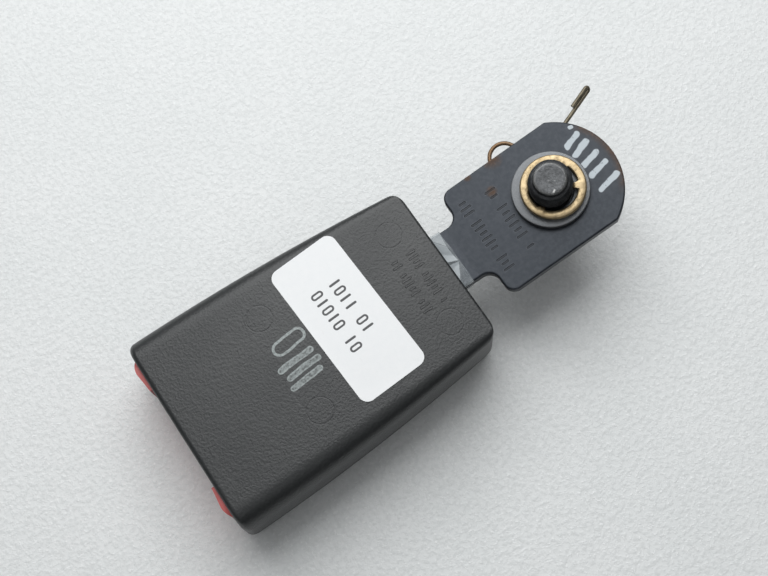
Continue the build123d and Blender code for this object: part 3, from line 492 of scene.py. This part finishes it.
def turned(name, profile, spokes, mat, radius_of=None, closed=False, sharp=35, middle=(0.0, 0.0)):
    """A turned piece on the bolt's axis. The profile is rows of (radius, height) in millimetres;
    each row is carried round the axis at so many spokes, and radius_of(radius, height, angle,
    row) may change it on the way, as for a hexagon or a thread. An open profile starts and
    ends on the axis, and a closed one is a ring's section. The middle may lie off the axis."""
    profile = np.asarray(profile, float)
    angle = np.linspace(0, 2 * np.pi, spokes, endpoint=False)[None, :]
    r = np.repeat(profile[:, :1], spokes, axis=1)
    h = np.repeat(profile[:, 1:2], spokes, axis=1)
    row = np.arange(len(profile))[:, None]
    if radius_of is not None:
        r, h = radius_of(r, h, angle, row)
    points = (np.outer((middle[0] + r * np.cos(angle)).ravel(), along_plate)
              + np.outer((middle[1] + r * np.sin(angle)).ravel(), (0.0, 1.0, 0.0))
              + np.outer(h.ravel(), along_bolt))
    piece = laid_mesh(name, points, round_quads(len(profile), spokes, closed), mat, sharp)
    if not closed:
        # the two poles: their rows have no radius
        close_poles(piece)
    return piece


flat_half, cone = 8.5, np.tan(np.radians(30))
pitch, crest, deep = 1.27, 5.555, 0.62


def bolt_radius(r, h, angle, row):
    """Below the flange the radius is a hexagon's, flat_half / cos of the angle from the nearest
    flat's middle, cut by a 30 degree cone at the end. On the thread it swings between crest and
    root as the height less the angle's share of a turn, in pitches, runs through a rounded saw."""
    off = (angle + np.pi / 6) % (np.pi / 3) - np.pi / 6
    hexagon = flat_half / np.cos(off)
    cut = flat_half - 0.35 + (h + 15.1) / cone
    head = (h < -8.55) & (r > flat_half - 0.5)
    r = np.where(head, np.minimum(hexagon, cut), r)
    turns = (h - angle / (2 * np.pi) * pitch) / pitch
    saw = np.abs((turns % 1.0) * 2 - 1)
    groove = deep * np.clip(1.25 * saw - 0.12, 0, 1)
    fade = np.clip((h - 4.35) / 0.8, 0, 1) * np.clip((9.75 - h) / 0.5, 0, 1)
    threaded = (h > 4.3) & (h < 9.75) & (r > 4.6)
    return np.where(threaded, np.minimum(r, crest - groove * fade), r), h


thread_rows = [(crest, h) for h in np.arange(4.7, 9.12, pitch / 14)]
head = [(0, -15.1), (4.0, -15.1), (7.4, -15.1), (8.15, -15.1)]
head += [(8.5, h) for h in np.linspace(-15.0, -8.62, 20)]
flange = [(8.5, -8.52), (9.1, -8.5), (9.42, -8.42), (9.56, -8.28), (9.6, -8.1), (9.6, -6.9),
          (9.55, -6.7), (9.4, -6.55), (9.15, -6.5)]
shoulder = [(6.9, -6.5), (6.6, -6.43), (6.45, -6.25), (6.45, -3.0), (6.45, -0.25), (6.35, 0.02), (6.2, 0.1)]
groove_rows = [(5.3, 0.1), (5.3, 2.0), (5.3, 4.3), (5.45, 4.5)]
dog_point = [(5.35, 9.25), (4.98, 9.55), (4.62, 9.68), (4.36, 9.74), (4.25, 9.84), (4.25, 10.3),
             (4.25, 10.75), (4.18, 10.98), (4.02, 11.16), (3.78, 11.27), (3.5, 11.3), (3.1, 11.27),
             (2.0, 11.22), (1.0, 11.2), (0, 11.2)]
bolt_profile = head + flange + shoulder + groove_rows + thread_rows + dog_point
mat, add, link = new_finish("bolt_phosphate", (0.03, 0.031, 0.034), 0.6, 0.38)
where = add("TexCoord")["Object"]
height = add("VectorMath", {0: where, 1: tuple(along_bolt)}, operation="DOT_PRODUCT")["Value"]
radial = add("VectorMath", {0: where, 1: tuple(along_plate)}, operation="DOT_PRODUCT")["Value"]
side = add("SeparateXYZ", {"Vector": where})["Y"]
round_at = add("CombineXYZ", {"X": radial, "Y": side})["Vector"]
out = add("VectorMath", {0: round_at}, operation="LENGTH")["Value"]
mottle = speckle(add, where, 800.0, 0.38, 0.66, 5.0)
scuff = speckle(add, where, 1500.0, 0.5, 0.68, 5.0, 0.7)
tone = tint(add, mottle, (0.022, 0.023, 0.025), (0.05, 0.052, 0.055))
at_tip = ramp(add, height, 0.0108, 0.0111)
tip_share = calc(add, "MULTIPLY", at_tip, calc(add, "MULTIPLY_ADD", mottle, 0.3, 0.4))
tone = lay_over(add, tip_share, tone, (0.115, 0.118, 0.122))
band = calc(add, "ABSOLUTE", calc(add, "SUBTRACT", out, 0.0040))
rubbed_rim = calc(add, "MULTIPLY", ramp(add, band, 0.0005, 0.0001), at_tip)
rubbed_rim = calc(add, "MULTIPLY", rubbed_rim, calc(add, "MULTIPLY_ADD", scuff, 0.7, 0.3))
nick = calc(add, "MULTIPLY", segment(add, radial, side, (0.0008, 0.0030), (0.0016, 0.0036), 0.00022), at_tip)
chips = calc(add, "MULTIPLY", speckle(add, where, 2300.0, 0.66, 0.74, 3.0), 0.5)
worn = any_of(add, [rubbed_rim, nick, calc(add, "MULTIPLY", chips, at_tip)])
tone = lay_over(add, calc(add, "MULTIPLY", worn, 0.8), tone, (0.42, 0.42, 0.41))
oily = speckle(add, where, 300.0, 0.4, 0.6)
link(tone, "Base Color")
link(calc(add, "MULTIPLY_ADD", worn, 0.3, 0.6), "Metallic")
link(calc(add, "MULTIPLY_ADD", oily, -0.12, calc(add, "MULTIPLY_ADD", at_tip, 0.08, 0.4)), "Roughness")
link(relief(add, calc(add, "ADD", mottle, scuff), 0.00005, 0.6), "Normal")
bolt = turned("bolt_forged", bolt_profile, 120, mat, bolt_radius)
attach(bolt, "bolt")
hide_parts("anchor_bolt")


# ------------------------------------------------------------------------------------------
# Flat washer: dull grey zinc on punched steel, faintly lined from tumbling, loose on the thread
# between the plate and the ring.


def rounded_section(r0, r1, h0, h1, edge, crown=0.0):
    """A ring's closed section: a rectangle between two radii and two heights with its corners
    rounded by quarter turns, its upper side raised by crown times a half sine across it."""
    bow = np.radians(np.linspace(0, 90, 5))
    corners = [(r1 - edge, h0 + edge, -90), (r1 - edge, h1 - edge, 0),
               (r0 + edge, h1 - edge, 90), (r0 + edge, h0 + edge, 180)]
    rows = []
    for cr, ch, begin in corners:
        t = bow + np.radians(begin)
        rows.append(np.column_stack([cr + edge * np.cos(t), ch + edge * np.sin(t)]))
    rows = np.concatenate(rows)
    rows[:, 1] += crown * np.sin(np.pi * (rows[:, 0] - r0) / (r1 - r0)) * (rows[:, 1] > (h0 + h1) / 2)
    return rows


mat, add, link = new_finish("dull_zinc", (0.16, 0.165, 0.175), 0.75, 0.5)
where = add("TexCoord")["Object"]
cloudy = speckle(add, where, 350.0, 0.35, 0.68)
fleck = speckle(add, where, 1800.0, 0.45, 0.7)
tone = tint(add, cloudy, (0.135, 0.142, 0.150), (0.20, 0.207, 0.215))
link(lay_over(add, calc(add, "MULTIPLY", fleck, 0.25), tone, (0.28, 0.28, 0.28)), "Base Color")
link(calc(add, "MULTIPLY_ADD", cloudy, 0.14, 0.42), "Roughness")
link(relief(add, fleck, 0.00003, 0.6), "Normal")
washer_section = rounded_section(r0=5.86, r1=10.0, h0=0.3, h1=2.0, edge=0.3)
washer = turned("washer_punched", washer_section, 120, mat, closed=True)
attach(washer, "washer")
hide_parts("flat_washer")

# ------------------------------------------------------------------------------------------
# Retaining ring: pressed spring steel, yellow chromated. Four tabs reach in to grip the relief
# below the thread. It hangs to one side, so its tabs show as bridges on the other side only.
hang = np.array([-0.54, 0.36])
ring_in, relief_r = 6.2, 5.3


def ring_radius(r, h, angle, row):
    """Between the tabs the inner wall stands at ring_in; within about 8 degrees of a tab's
    middle it reaches in to the relief's circle, whose middle lies off the ring's by d: seen
    from the ring's middle that circle stands d cos(a) + root(relief_r^2 - (d sin(a))^2) away,
    a being the angle from the line of the two middles. Only the inner half of the section
    moves."""
    off = np.minimum(*[np.abs((angle - np.radians(turn) + np.pi / 2) % np.pi - np.pi / 2)
                       for turn in (28, 148)])
    tab = np.clip((np.radians(8.6) - off) / np.radians(1.5), 0, 1)
    swing = angle - np.arctan2(-hang[1], -hang[0])
    d = np.hypot(*hang)
    reach = d * np.cos(swing) + np.sqrt(relief_r ** 2 - (d * np.sin(swing)) ** 2)
    inner = np.clip((7.2 - r) / 1.0, 0, 1)
    return r - inner * tab * (ring_in - reach), h


mat, add, link = new_finish("yellow_chromate", (0.36, 0.26, 0.135), 0.85, 0.36)
where = add("TexCoord")["Object"]
iris = speckle(add, where, 260.0, 0.35, 0.68)
stain = speckle(add, where, 900.0, 0.5, 0.72, 5.0)
tone = tint(add, iris, (0.27, 0.20, 0.11), (0.42, 0.33, 0.20))
tone = lay_over(add, calc(add, "MULTIPLY", stain, 0.5), tone, (0.12, 0.085, 0.05))
link(tone, "Base Color")
link(calc(add, "MULTIPLY_ADD", stain, 0.2, 0.3), "Roughness")
link(relief(add, stain, -0.00003, 0.5), "Normal")
ring_section = rounded_section(r0=ring_in, r1=8.4, h0=2.9, h1=4.1, edge=0.4, crown=0.1)
ring = turned("ring_pressed", ring_section, 240, mat, ring_radius, closed=True, middle=hang)
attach(ring, "bolt")
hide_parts("retaining_ring")

# ------------------------------------------------------------------------------------------
# Anchor wire: 1.1 mm spring wire bent by hand round the bolt's shoulder, tarnished brown where
# it was handled, its end folded back on itself.
mat, add, link = new_finish("tarnished_wire", (0.2, 0.17, 0.11), 0.7, 0.45)
where = add("TexCoord")["Object"]
at = add("SeparateXYZ", {"Vector": where})
cloudy = speckle(add, where, 500.0, 0.35, 0.65, 5.0)
tone = tint(add, cloudy, (0.10, 0.085, 0.06), (0.24, 0.21, 0.15))
browned = ramp(add, at["X"], -0.012, 0.002)
tone = lay_over(add, calc(add, "MULTIPLY", browned, 0.7), tone, (0.23, 0.125, 0.06))
link(tone, "Base Color")
link(calc(add, "MULTIPLY_ADD", cloudy, 0.2, 0.35), "Roughness")
drawn = speckle(add, where, 2400.0, 0.4, 0.7)
link(relief(add, drawn, 0.00003, 0.6), "Normal")
dress("anchor_wire", mat)

# ------------------------------------------------------------------------------------------
# Neck sleeve: a scrap of clear polyethylene film round the neck, which stops rattle. It is
# creased into a few flat facets; three are painted paler and more opaque, partly film gone milky
# where it was bent most and partly a painted highlight where the facets catch the light.
film_x = np.linspace(28.9, 36.0, 30)
film_u = np.linspace(0, 1, 120, endpoint=False)
half_y, half_z, neck_mid = 7.93, 1.72, -4.8
# the closed outline of the sleeve, walked evenly by length
walk = film_u * 4 * (half_y + half_z)
corners_at = np.cumsum([0, 2 * half_y, 2 * half_z, 2 * half_y, 2 * half_z])
out_y = np.interp(walk, corners_at, [-half_y, half_y, half_y, -half_y, -half_y])
out_z = np.interp(walk, corners_at, [half_z, half_z, -half_z, -half_z, half_z])
grid_x, grid_y = np.meshgrid(film_x, out_y, indexing="ij")
# creases, each a line from one point to another with its height: the film rises to it as a roof
# to its ridge, one minus the distance to the line over the roof's half width
creases = ((29.6, -3.3, 31.9, -6.9, 0.34), (29.3, 1.1, 31.8, 0.2, 0.40), (29.3, 1.4, 31.9, 6.2, 0.26))
rise = np.zeros_like(grid_x)
for x0, y0, x1, y1, tall in creases:
    away = np.abs((x1 - x0) * (grid_y - y0) - (y1 - y0) * (grid_x - x0)) / np.hypot(x1 - x0, y1 - y0)
    rise = np.maximum(rise, tall * np.clip(1 - away / 2.4, 0, 1))
hem = 0.08 * np.sin(out_y * 0.9 + 0.6)[None, :] * np.clip((30.0 - grid_x) / 1.1, 0, 1)
sheet = np.stack([grid_x + hem, grid_y * (1 + 0.012 * rise), neck_mid + out_z[None, :] * (1 + rise)], -1)
quads = round_quads(*sheet.shape[:2], flip=True)


def facet(add, across, along, corners):
    """1 inside a convex polygon, its corners listed anticlockwise: the least of the distances to
    the lines of its sides, softened over a tenth of a millimetre."""
    least = None
    for (ax, ay), (bx, by) in zip(corners, corners[1:] + corners[:1]):
        long = np.hypot(bx - ax, by - ay)
        nx, ny = -(by - ay) / long, (bx - ax) / long
        beyond = calc(add, "MULTIPLY_ADD", along, ny, -(ax * nx + ay * ny))
        inside = calc(add, "MULTIPLY_ADD", across, nx, beyond)
        least = inside if least is None else calc(add, "MINIMUM", least, inside)
    return ramp(add, least, 0.0, 0.0001)


mat, add, link = new_finish("clear_film", (0.62, 0.66, 0.69), 0.0, 0.22)
where = add("TexCoord")["Object"]
at = add("SeparateXYZ", {"Vector": where})
haze = speckle(add, where, 260.0, 0.3, 0.7)
broad = facet(add, at["X"], at["Y"],
              [(0.0325, -0.0074), (0.0320, 0.0001), (0.0293, 0.0012), (0.0296, -0.0034)])
sliver = facet(add, at["X"], at["Y"], [(0.0320, 0.0009), (0.0320, 0.0063), (0.0293, 0.0015)])
corner = facet(add, at["X"], at["Y"],
               [(0.0325, -0.0080), (0.0325, -0.0074), (0.0296, -0.0034), (0.0288, -0.0080)])
# these facets are partly milky film and partly a painted highlight: paler and more opaque where the creased
# film catches the light
milky_and_highlight = any_of(add, [broad, sliver, calc(add, "MULTIPLY", corner, 0.55)])
milky_and_highlight = calc(add, "MULTIPLY", milky_and_highlight, ramp(add, at["Z"], -0.0040, -0.0036))
link(tint(add, haze, (0.40, 0.44, 0.46), (0.52, 0.56, 0.58)), "Base Color")
link(calc(add, "MULTIPLY_ADD", milky_and_highlight, 0.52, calc(add, "MULTIPLY_ADD", haze, 0.12, 0.12), clamp=True), "Alpha")
link(calc(add, "MULTIPLY_ADD", milky_and_highlight, 0.1, 0.2), "Roughness")
link(relief(add, haze, 0.00006, 0.4), "Normal")
film = laid_mesh("film_sleeve", sheet.reshape(-1, 3), quads, mat, sharp=12)
wall_up = film.modifiers.new("film_gauge", "SOLIDIFY")
wall_up.thickness = 0.00006
wall_up.offset = 1.0
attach(film, "housing")
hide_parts("neck_film")

# ------------------------------------------------------------------------------------------
# Label: white gloss polyester stuck on by hand a little askew, printed with two rows of plain
# strokes and loops where a stock code would be. One corner has lifted by a hair.
lab_l, lab_w, lab_r, lab_turn = 41.3, 19.3, 2.5, np.radians(2.9)
mid_x, mid_y = 60.85, -1.85
around = np.linspace(0, 2 * np.pi, 96, endpoint=False) + np.pi / 96
core = np.array([lab_w / 2 - lab_r, lab_l / 2 - lab_r])
edge = np.stack([np.sign(np.cos(around)) * core[0] + lab_r * np.cos(around),
                 np.sign(np.sin(around)) * core[1] + lab_r * np.sin(around)], -1)
share = np.concatenate([np.linspace(0, 0.97, 12), [1.0, 1.0, 0.97]])
lift = np.concatenate([np.full(13, 0.14), [0.02, 0.02]])
flat_label = edge[None, :, :] * share[:, None, None]
curl = 0.10 * np.clip((flat_label[..., 0] + flat_label[..., 1] - 24.0) / 4.0, 0, 1) ** 2
local_z = lift[:, None] + curl
lab_x = mid_x + flat_label[..., 0] * np.cos(lab_turn) - flat_label[..., 1] * np.sin(lab_turn)
lab_y = mid_y + flat_label[..., 0] * np.sin(lab_turn) + flat_label[..., 1] * np.cos(lab_turn)
sheet = np.stack([lab_x, lab_y, face_top + local_z], -1)
quads = round_quads(*sheet.shape[:2], flip=True)
mat, add, link = new_finish("label_polyester", (0.84, 0.85, 0.85), 0.0, 0.32)
where = add("TexCoord")["Object"]
mid = (mid_x * 0.001, mid_y * 0.001, 0.0)
near = add("VectorMath", {0: where, 1: mid}, operation="SUBTRACT")["Vector"]
turned_in = add("VectorRotate", {"Vector": near, "Angle": -float(lab_turn)}, rotation_type="Z_AXIS")["Vector"]
at = add("SeparateXYZ", {"Vector": turned_in})
fibre = speckle(add, where, 500.0, 0.3, 0.7)
grime = speckle(add, where, 1200.0, 0.62, 0.74, 5.0)
tone = tint(add, fibre, (0.835, 0.845, 0.85), (0.865, 0.87, 0.872))
tone = lay_over(add, calc(add, "MULTIPLY", grime, 0.10), tone, (0.60, 0.59, 0.56))
# the two rows, read along the housing's width: True is a loop, False a stroke, None a space
prints = []
for x0, row in ((-0.0027, (False, True, False, False, None, True, False)),
                (0.0027, (True, False, True, False, True, None, False, True))):
    for k, looped in enumerate(row):
        y0 = -0.0090 + 0.00235 * k
        if looped is None:
            continue
        if looped:
            ends = (x0 - 0.0008, y0), (x0 + 0.0008, y0)
            prints.append(segment(add, at["X"], at["Y"], *ends, 0.00062, 0.0003))
        else:
            prints.append(segment(add, at["X"], at["Y"], (x0 - 0.0013, y0), (x0 + 0.0013, y0), 0.00036))
ink = any_of(add, prints)
tone = lay_over(add, calc(add, "MULTIPLY", ink, 0.95), tone, (0.022, 0.022, 0.024))
link(tone, "Base Color")
link(calc(add, "MULTIPLY_ADD", ink, 0.15, calc(add, "MULTIPLY_ADD", fibre, 0.06, 0.28)), "Roughness")
link(relief(add, fibre, 0.00001, 0.4), "Normal")
sticker = laid_mesh("label_sticker", sheet.reshape(-1, 3), quads, mat, sharp=40)
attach(sticker, "housing")
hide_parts("label")

# ------------------------------------------------------------------------------------------
# Works inside the housing: a channel of zinc-plated sheet riveted to the plate, a hardened latch
# lever on a ground axle that spring clips hold, and the ground lock pin.


def rolled_steel(name, tone_a, tone_b, rough, line_way, grime):
    """Bare or zinc-plated steel: fine lines along the rolling direction, cloudy plating, and
    darker oil in the hollows of a coarser noise."""
    mat, add, link = new_finish(name, tone_a, 0.95, rough)
    where = add("TexCoord")["Object"]
    lined = stretched(add, where, line_way)
    lines = speckle(add, lined, 1.0, 0.3, 0.7, 3.0)
    cloudy = speckle(add, where, 180.0, 0.35, 0.68)
    oil = speckle(add, where, 420.0, 0.55, 0.75, 5.0)
    shade = calc(add, "MULTIPLY_ADD", lines, 0.5, calc(add, "MULTIPLY", cloudy, 0.5))
    tone = tint(add, shade, tone_a, tone_b)
    link(lay_over(add, calc(add, "MULTIPLY", oil, grime), tone, (0.09, 0.08, 0.065)), "Base Color")
    link(calc(add, "MULTIPLY_ADD", lines, 0.14, calc(add, "MULTIPLY_ADD", oil, -0.08, rough)), "Roughness")
    link(relief(add, lines, 0.00002, 0.5), "Normal")
    return mat


for node, name, tone_a, tone_b, rough, line_way, grime in (
        ("base_frame", "zinc_sheet", (0.42, 0.42, 0.40), (0.58, 0.58, 0.54),
         0.32, (70.0, 1800.0, 1800.0), 0.25),
        ("latch_lever", "hardened_lever", (0.17, 0.165, 0.165), (0.29, 0.28, 0.27),
         0.33, (1500.0, 90.0, 1500.0), 0.4),
        ("latch_axle", "ground_axle", (0.48, 0.48, 0.48), (0.60, 0.60, 0.60),
         0.22, (2200.0, 60.0, 2200.0), 0.25),
        ("lock_pin", "ground_pin", (0.46, 0.46, 0.47), (0.58, 0.58, 0.59),
         0.22, (2200.0, 60.0, 2200.0), 0.25),
        ("frame_rivets", "rivet_zinc", (0.40, 0.41, 0.42), (0.55, 0.55, 0.55),
         0.3, (900.0, 900.0, 900.0), 0.25),
        ("axle_clips", "clip_spring", (0.20, 0.20, 0.21), (0.33, 0.33, 0.33),
         0.35, (1200.0, 1200.0, 200.0), 0.35)):
    dress(node, rolled_steel(name, tone_a, tone_b, rough, line_way, grime))

# ------------------------------------------------------------------------------------------
# Return springs: hard-drawn spring wire, coiled cold. Each stands on a fixed seat with the button,
# the latch lever or the ejector against its other end, and is built here at one fixed length.


def coil_springs(node, feet, axis, out, over, rise, radius, gauge, turns):
    """Open coil springs, one on each foot. The wire's middle climbs along the axis as it turns:
    foot + axis rise t + radius (cos a out + sin a over), with a = 2 pi turns t. The wire is a
    circle of half its gauge, square to that line, and its two ends are closed."""
    t = np.linspace(0, 1, 32 * turns + 1)
    a = 2 * np.pi * turns * t
    axis, out, over = np.array(axis, float), np.array(out, float), np.array(over, float)
    radial = np.outer(np.cos(a), out) + np.outer(np.sin(a), over)
    swirl = np.outer(-np.sin(a), out) + np.outer(np.cos(a), over)
    ahead = radius * swirl + axis * rise / (2 * np.pi * turns)
    ahead /= np.linalg.norm(ahead, axis=1, keepdims=True)
    across = np.cross(ahead, radial)
    n = 12
    phi = np.linspace(0, 2 * np.pi, n, endpoint=False)
    skin = (radial[:, None, :] * np.cos(phi)[None, :, None]
            + across[:, None, :] * np.sin(phi)[None, :, None]) * gauge / 2
    k = np.arange(n // 2 - 1)
    disc = np.stack([k, k + 1, n - 2 - k, n - 1 - k], -1)
    faces = np.concatenate([round_quads(len(t), n), disc[:, ::-1], disc + (len(t) - 1) * n])
    middle = np.outer(t * rise, axis)
    points = [(np.array(foot) + middle + radius * radial)[:, None, :] + skin for foot in feet]
    count = len(t) * n
    mat = rolled_steel("wire_" + node, (0.38, 0.38, 0.37), (0.56, 0.56, 0.54), 0.27,
                       (1600.0, 1600.0, 1600.0), 0.3)
    piece = laid_mesh("coiled_" + node, np.concatenate(points).reshape(-1, 3),
                      np.concatenate([faces + count * s for s in range(len(feet))]), mat, sharp=50)
    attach(piece, "housing")
    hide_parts(node)
    return piece


# a coil's axis, the way out to its wire's start, and the way the wire turns from there
lying = (1, 0, 0), (0, 0, 1), (0, -1, 0)
standing = (0, 0, 1), (1, 0, 0), (0, 1, 0)
button_coils = coil_springs("button_springs", [(84.6, 20.6, -18.3), (84.6, -20.6, -18.3)],
                            *lying, rise=11.8, radius=2.6, gauge=0.6, turns=9)
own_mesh(button_coils)
latch_coil = coil_springs("latch_spring", [(69.5, 0.0, -23.45)],
                          *standing, rise=7.9, radius=2.2, gauge=0.5, turns=7)
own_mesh(latch_coil)
ejector_coil = coil_springs("ejector_spring", [(48.55, 0.0, -10.35)],
                            *lying, rise=20.9, radius=1.3, gauge=0.5, turns=15)
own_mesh(ejector_coil)

# ------------------------------------------------------------------------------------------
# Lock slide, ejector and spring seat: moulded natural acetal, which runs dry on the steel. A
# die-cut foam pad keeps the channel from rattling on the back cover.


def natural_acetal(name):
    """Natural white acetal: waxy, slightly clouded, with flow lines and a grey rub of metal."""
    mat, add, link = new_finish(name, (0.78, 0.77, 0.72), 0.0, 0.36)
    where = add("TexCoord")["Object"]
    flowed = stretched(add, where, (110.0, 420.0, 420.0))
    flow = speckle(add, flowed, 1.0, 0.35, 0.68, 3.0)
    rub = speckle(add, where, 600.0, 0.6, 0.74, 5.0)
    tone = tint(add, flow, (0.74, 0.73, 0.68), (0.82, 0.81, 0.77))
    link(lay_over(add, calc(add, "MULTIPLY", rub, 0.35), tone, (0.42, 0.41, 0.39)), "Base Color")
    link(calc(add, "MULTIPLY_ADD", flow, 0.12, 0.3), "Roughness")
    link(relief(add, flow, 0.00003, 0.4), "Normal")
    return mat


for node in ("lock_slide", "ejector", "spring_seat"):
    dress(node, natural_acetal("acetal_" + node))

# the pad: black open-cell foam, with painted shade in its pores
mat, add, link = new_finish("foam_open_cell", (0.035, 0.035, 0.036), 0.0, 0.9)
where = add("TexCoord")["Object"]
pores_and_shade = add("TexVoronoi", {"Vector": where, "Scale": 1900.0}, feature="F1")["Distance"]
# painted shade: darker towards each pore's middle, where the bump sinks it
link(tint(add, pores_and_shade, (0.012, 0.012, 0.012), (0.075, 0.075, 0.077)), "Base Color")
link(relief(add, pores_and_shade, 0.0003, 1.0), "Normal")
dress("foam_pad", mat)

# ------------------------------------------------------------------------------------------
# Stage: a pale packing-foam sheet that glints in fine specks, soft daylight, and the camera.
counter_mesh = bpy.data.meshes.new("counter")
far, low = 1.5, -0.026
counter_mesh.from_pydata([(-far, -far, low), (far, -far, low), (far, far, low), (-far, far, low)],
                         [], [(0, 1, 2, 3)])
counter = bpy.data.objects.new("counter", counter_mesh)
bpy.context.scene.collection.objects.link(counter)
mat, add, link = new_finish("counter_foam", (0.81, 0.82, 0.82), 0.0, 0.5)
where = add("TexCoord")["Object"]
cloudy = speckle(add, where, 30.0, 0.35, 0.65)
fine = speckle(add, where, 800.0, 0.42, 0.66, 3.0)
glint = speckle(add, where, 1150.0, 0.575, 0.66, 2.0)
tone = tint(add, cloudy, (0.80, 0.815, 0.81), (0.83, 0.84, 0.835))
tone = lay_over(add, calc(add, "MULTIPLY", fine, 0.55), tone, (0.70, 0.715, 0.71))
tone = lay_over(add, calc(add, "MULTIPLY", glint, 0.75), tone, (0.90, 0.91, 0.905))
link(tone, "Base Color")
link(relief(add, calc(add, "ADD", fine, glint), 0.0003, 0.3), "Normal")
counter_mesh.materials.append(mat)

# the room: bright overhead and on the window's side, dark at the horizon and across from it
world = bpy.data.worlds.new("room")
world.use_nodes = True
room = world.node_tree
heading = room.nodes.new("ShaderNodeTexCoord").outputs["Generated"]
toward = room.nodes.new("ShaderNodeVectorMath")
toward.operation = "DOT_PRODUCT"
toward.inputs[1].default_value = (-0.12, -0.42, 0.90)
level = room.nodes.new("ShaderNodeMapRange")
level.interpolation_type = "SMOOTHSTEP"
level.inputs["From Min"].default_value = 0.15
level.inputs["From Max"].default_value = 1.0
level.inputs["To Min"].default_value = 0.05
level.inputs["To Max"].default_value = 0.45
room.links.new(heading, toward.inputs[0])
room.links.new(toward.outputs["Value"], level.inputs["Value"])
room.links.new(level.outputs["Result"], room.nodes["Background"].inputs["Strength"])
room.nodes["Background"].inputs["Color"].default_value = (0.96, 0.98, 1.0, 1)
bpy.context.scene.world = world
for name, watts, size, place, aim in (("window", 4.65, 0.66, (-0.12, -0.37, 0.56), (0.05, 0.0, 0.0)),
                                      ("fill", 0.6, 0.8, (0.45, 0.30, 0.75), (0.05, 0.0, 0.0))):
    lamp_data = bpy.data.lights.new(name, "AREA")
    lamp_data.energy = watts
    lamp_data.size = size
    lamp_data.color = (0.98, 0.995, 1.0)
    lamp = bpy.data.objects.new(name, lamp_data)
    bpy.context.scene.collection.objects.link(lamp)
    away = np.array(place) - np.array(aim)
    away = away / np.linalg.norm(away)
    right = np.cross((0.0, 1.0, 0.0), away)
    right = right / np.linalg.norm(right)
    turn = np.eye(4)
    turn[:3, 0], turn[:3, 1], turn[:3, 2], turn[:3, 3] = right, np.cross(away, right), away, place
    lamp.matrix_world = Matrix(turn.tolist())

# the camera stands over the push button's end, a little to the left, and looks down
right = np.array([-0.829091, 0.55764, -0.040578])
down = np.array([0.546851, 0.793649, -0.266599])
ahead = np.array([-0.116461, -0.243225, -0.962953])
stand = (0.087143, 0.07665, 0.31466)
sensor, focal_pixels, picture_pixels = 36.0, 1307.95, 768.0
cam_data = bpy.data.cameras.new("camera")
cam_data.sensor_width = sensor
cam_data.lens = focal_pixels * sensor / picture_pixels
cam_data.clip_start = 0.01
cam = bpy.data.objects.new("camera", cam_data)
bpy.context.scene.collection.objects.link(cam)
turn = np.eye(4)
turn[:3, 0], turn[:3, 1], turn[:3, 2], turn[:3, 3] = right, -down, -ahead, stand
cam.matrix_world = Matrix(turn.tolist())
bpy.context.scene.camera = cam
bpy.context.scene.view_settings.view_transform = "Standard"
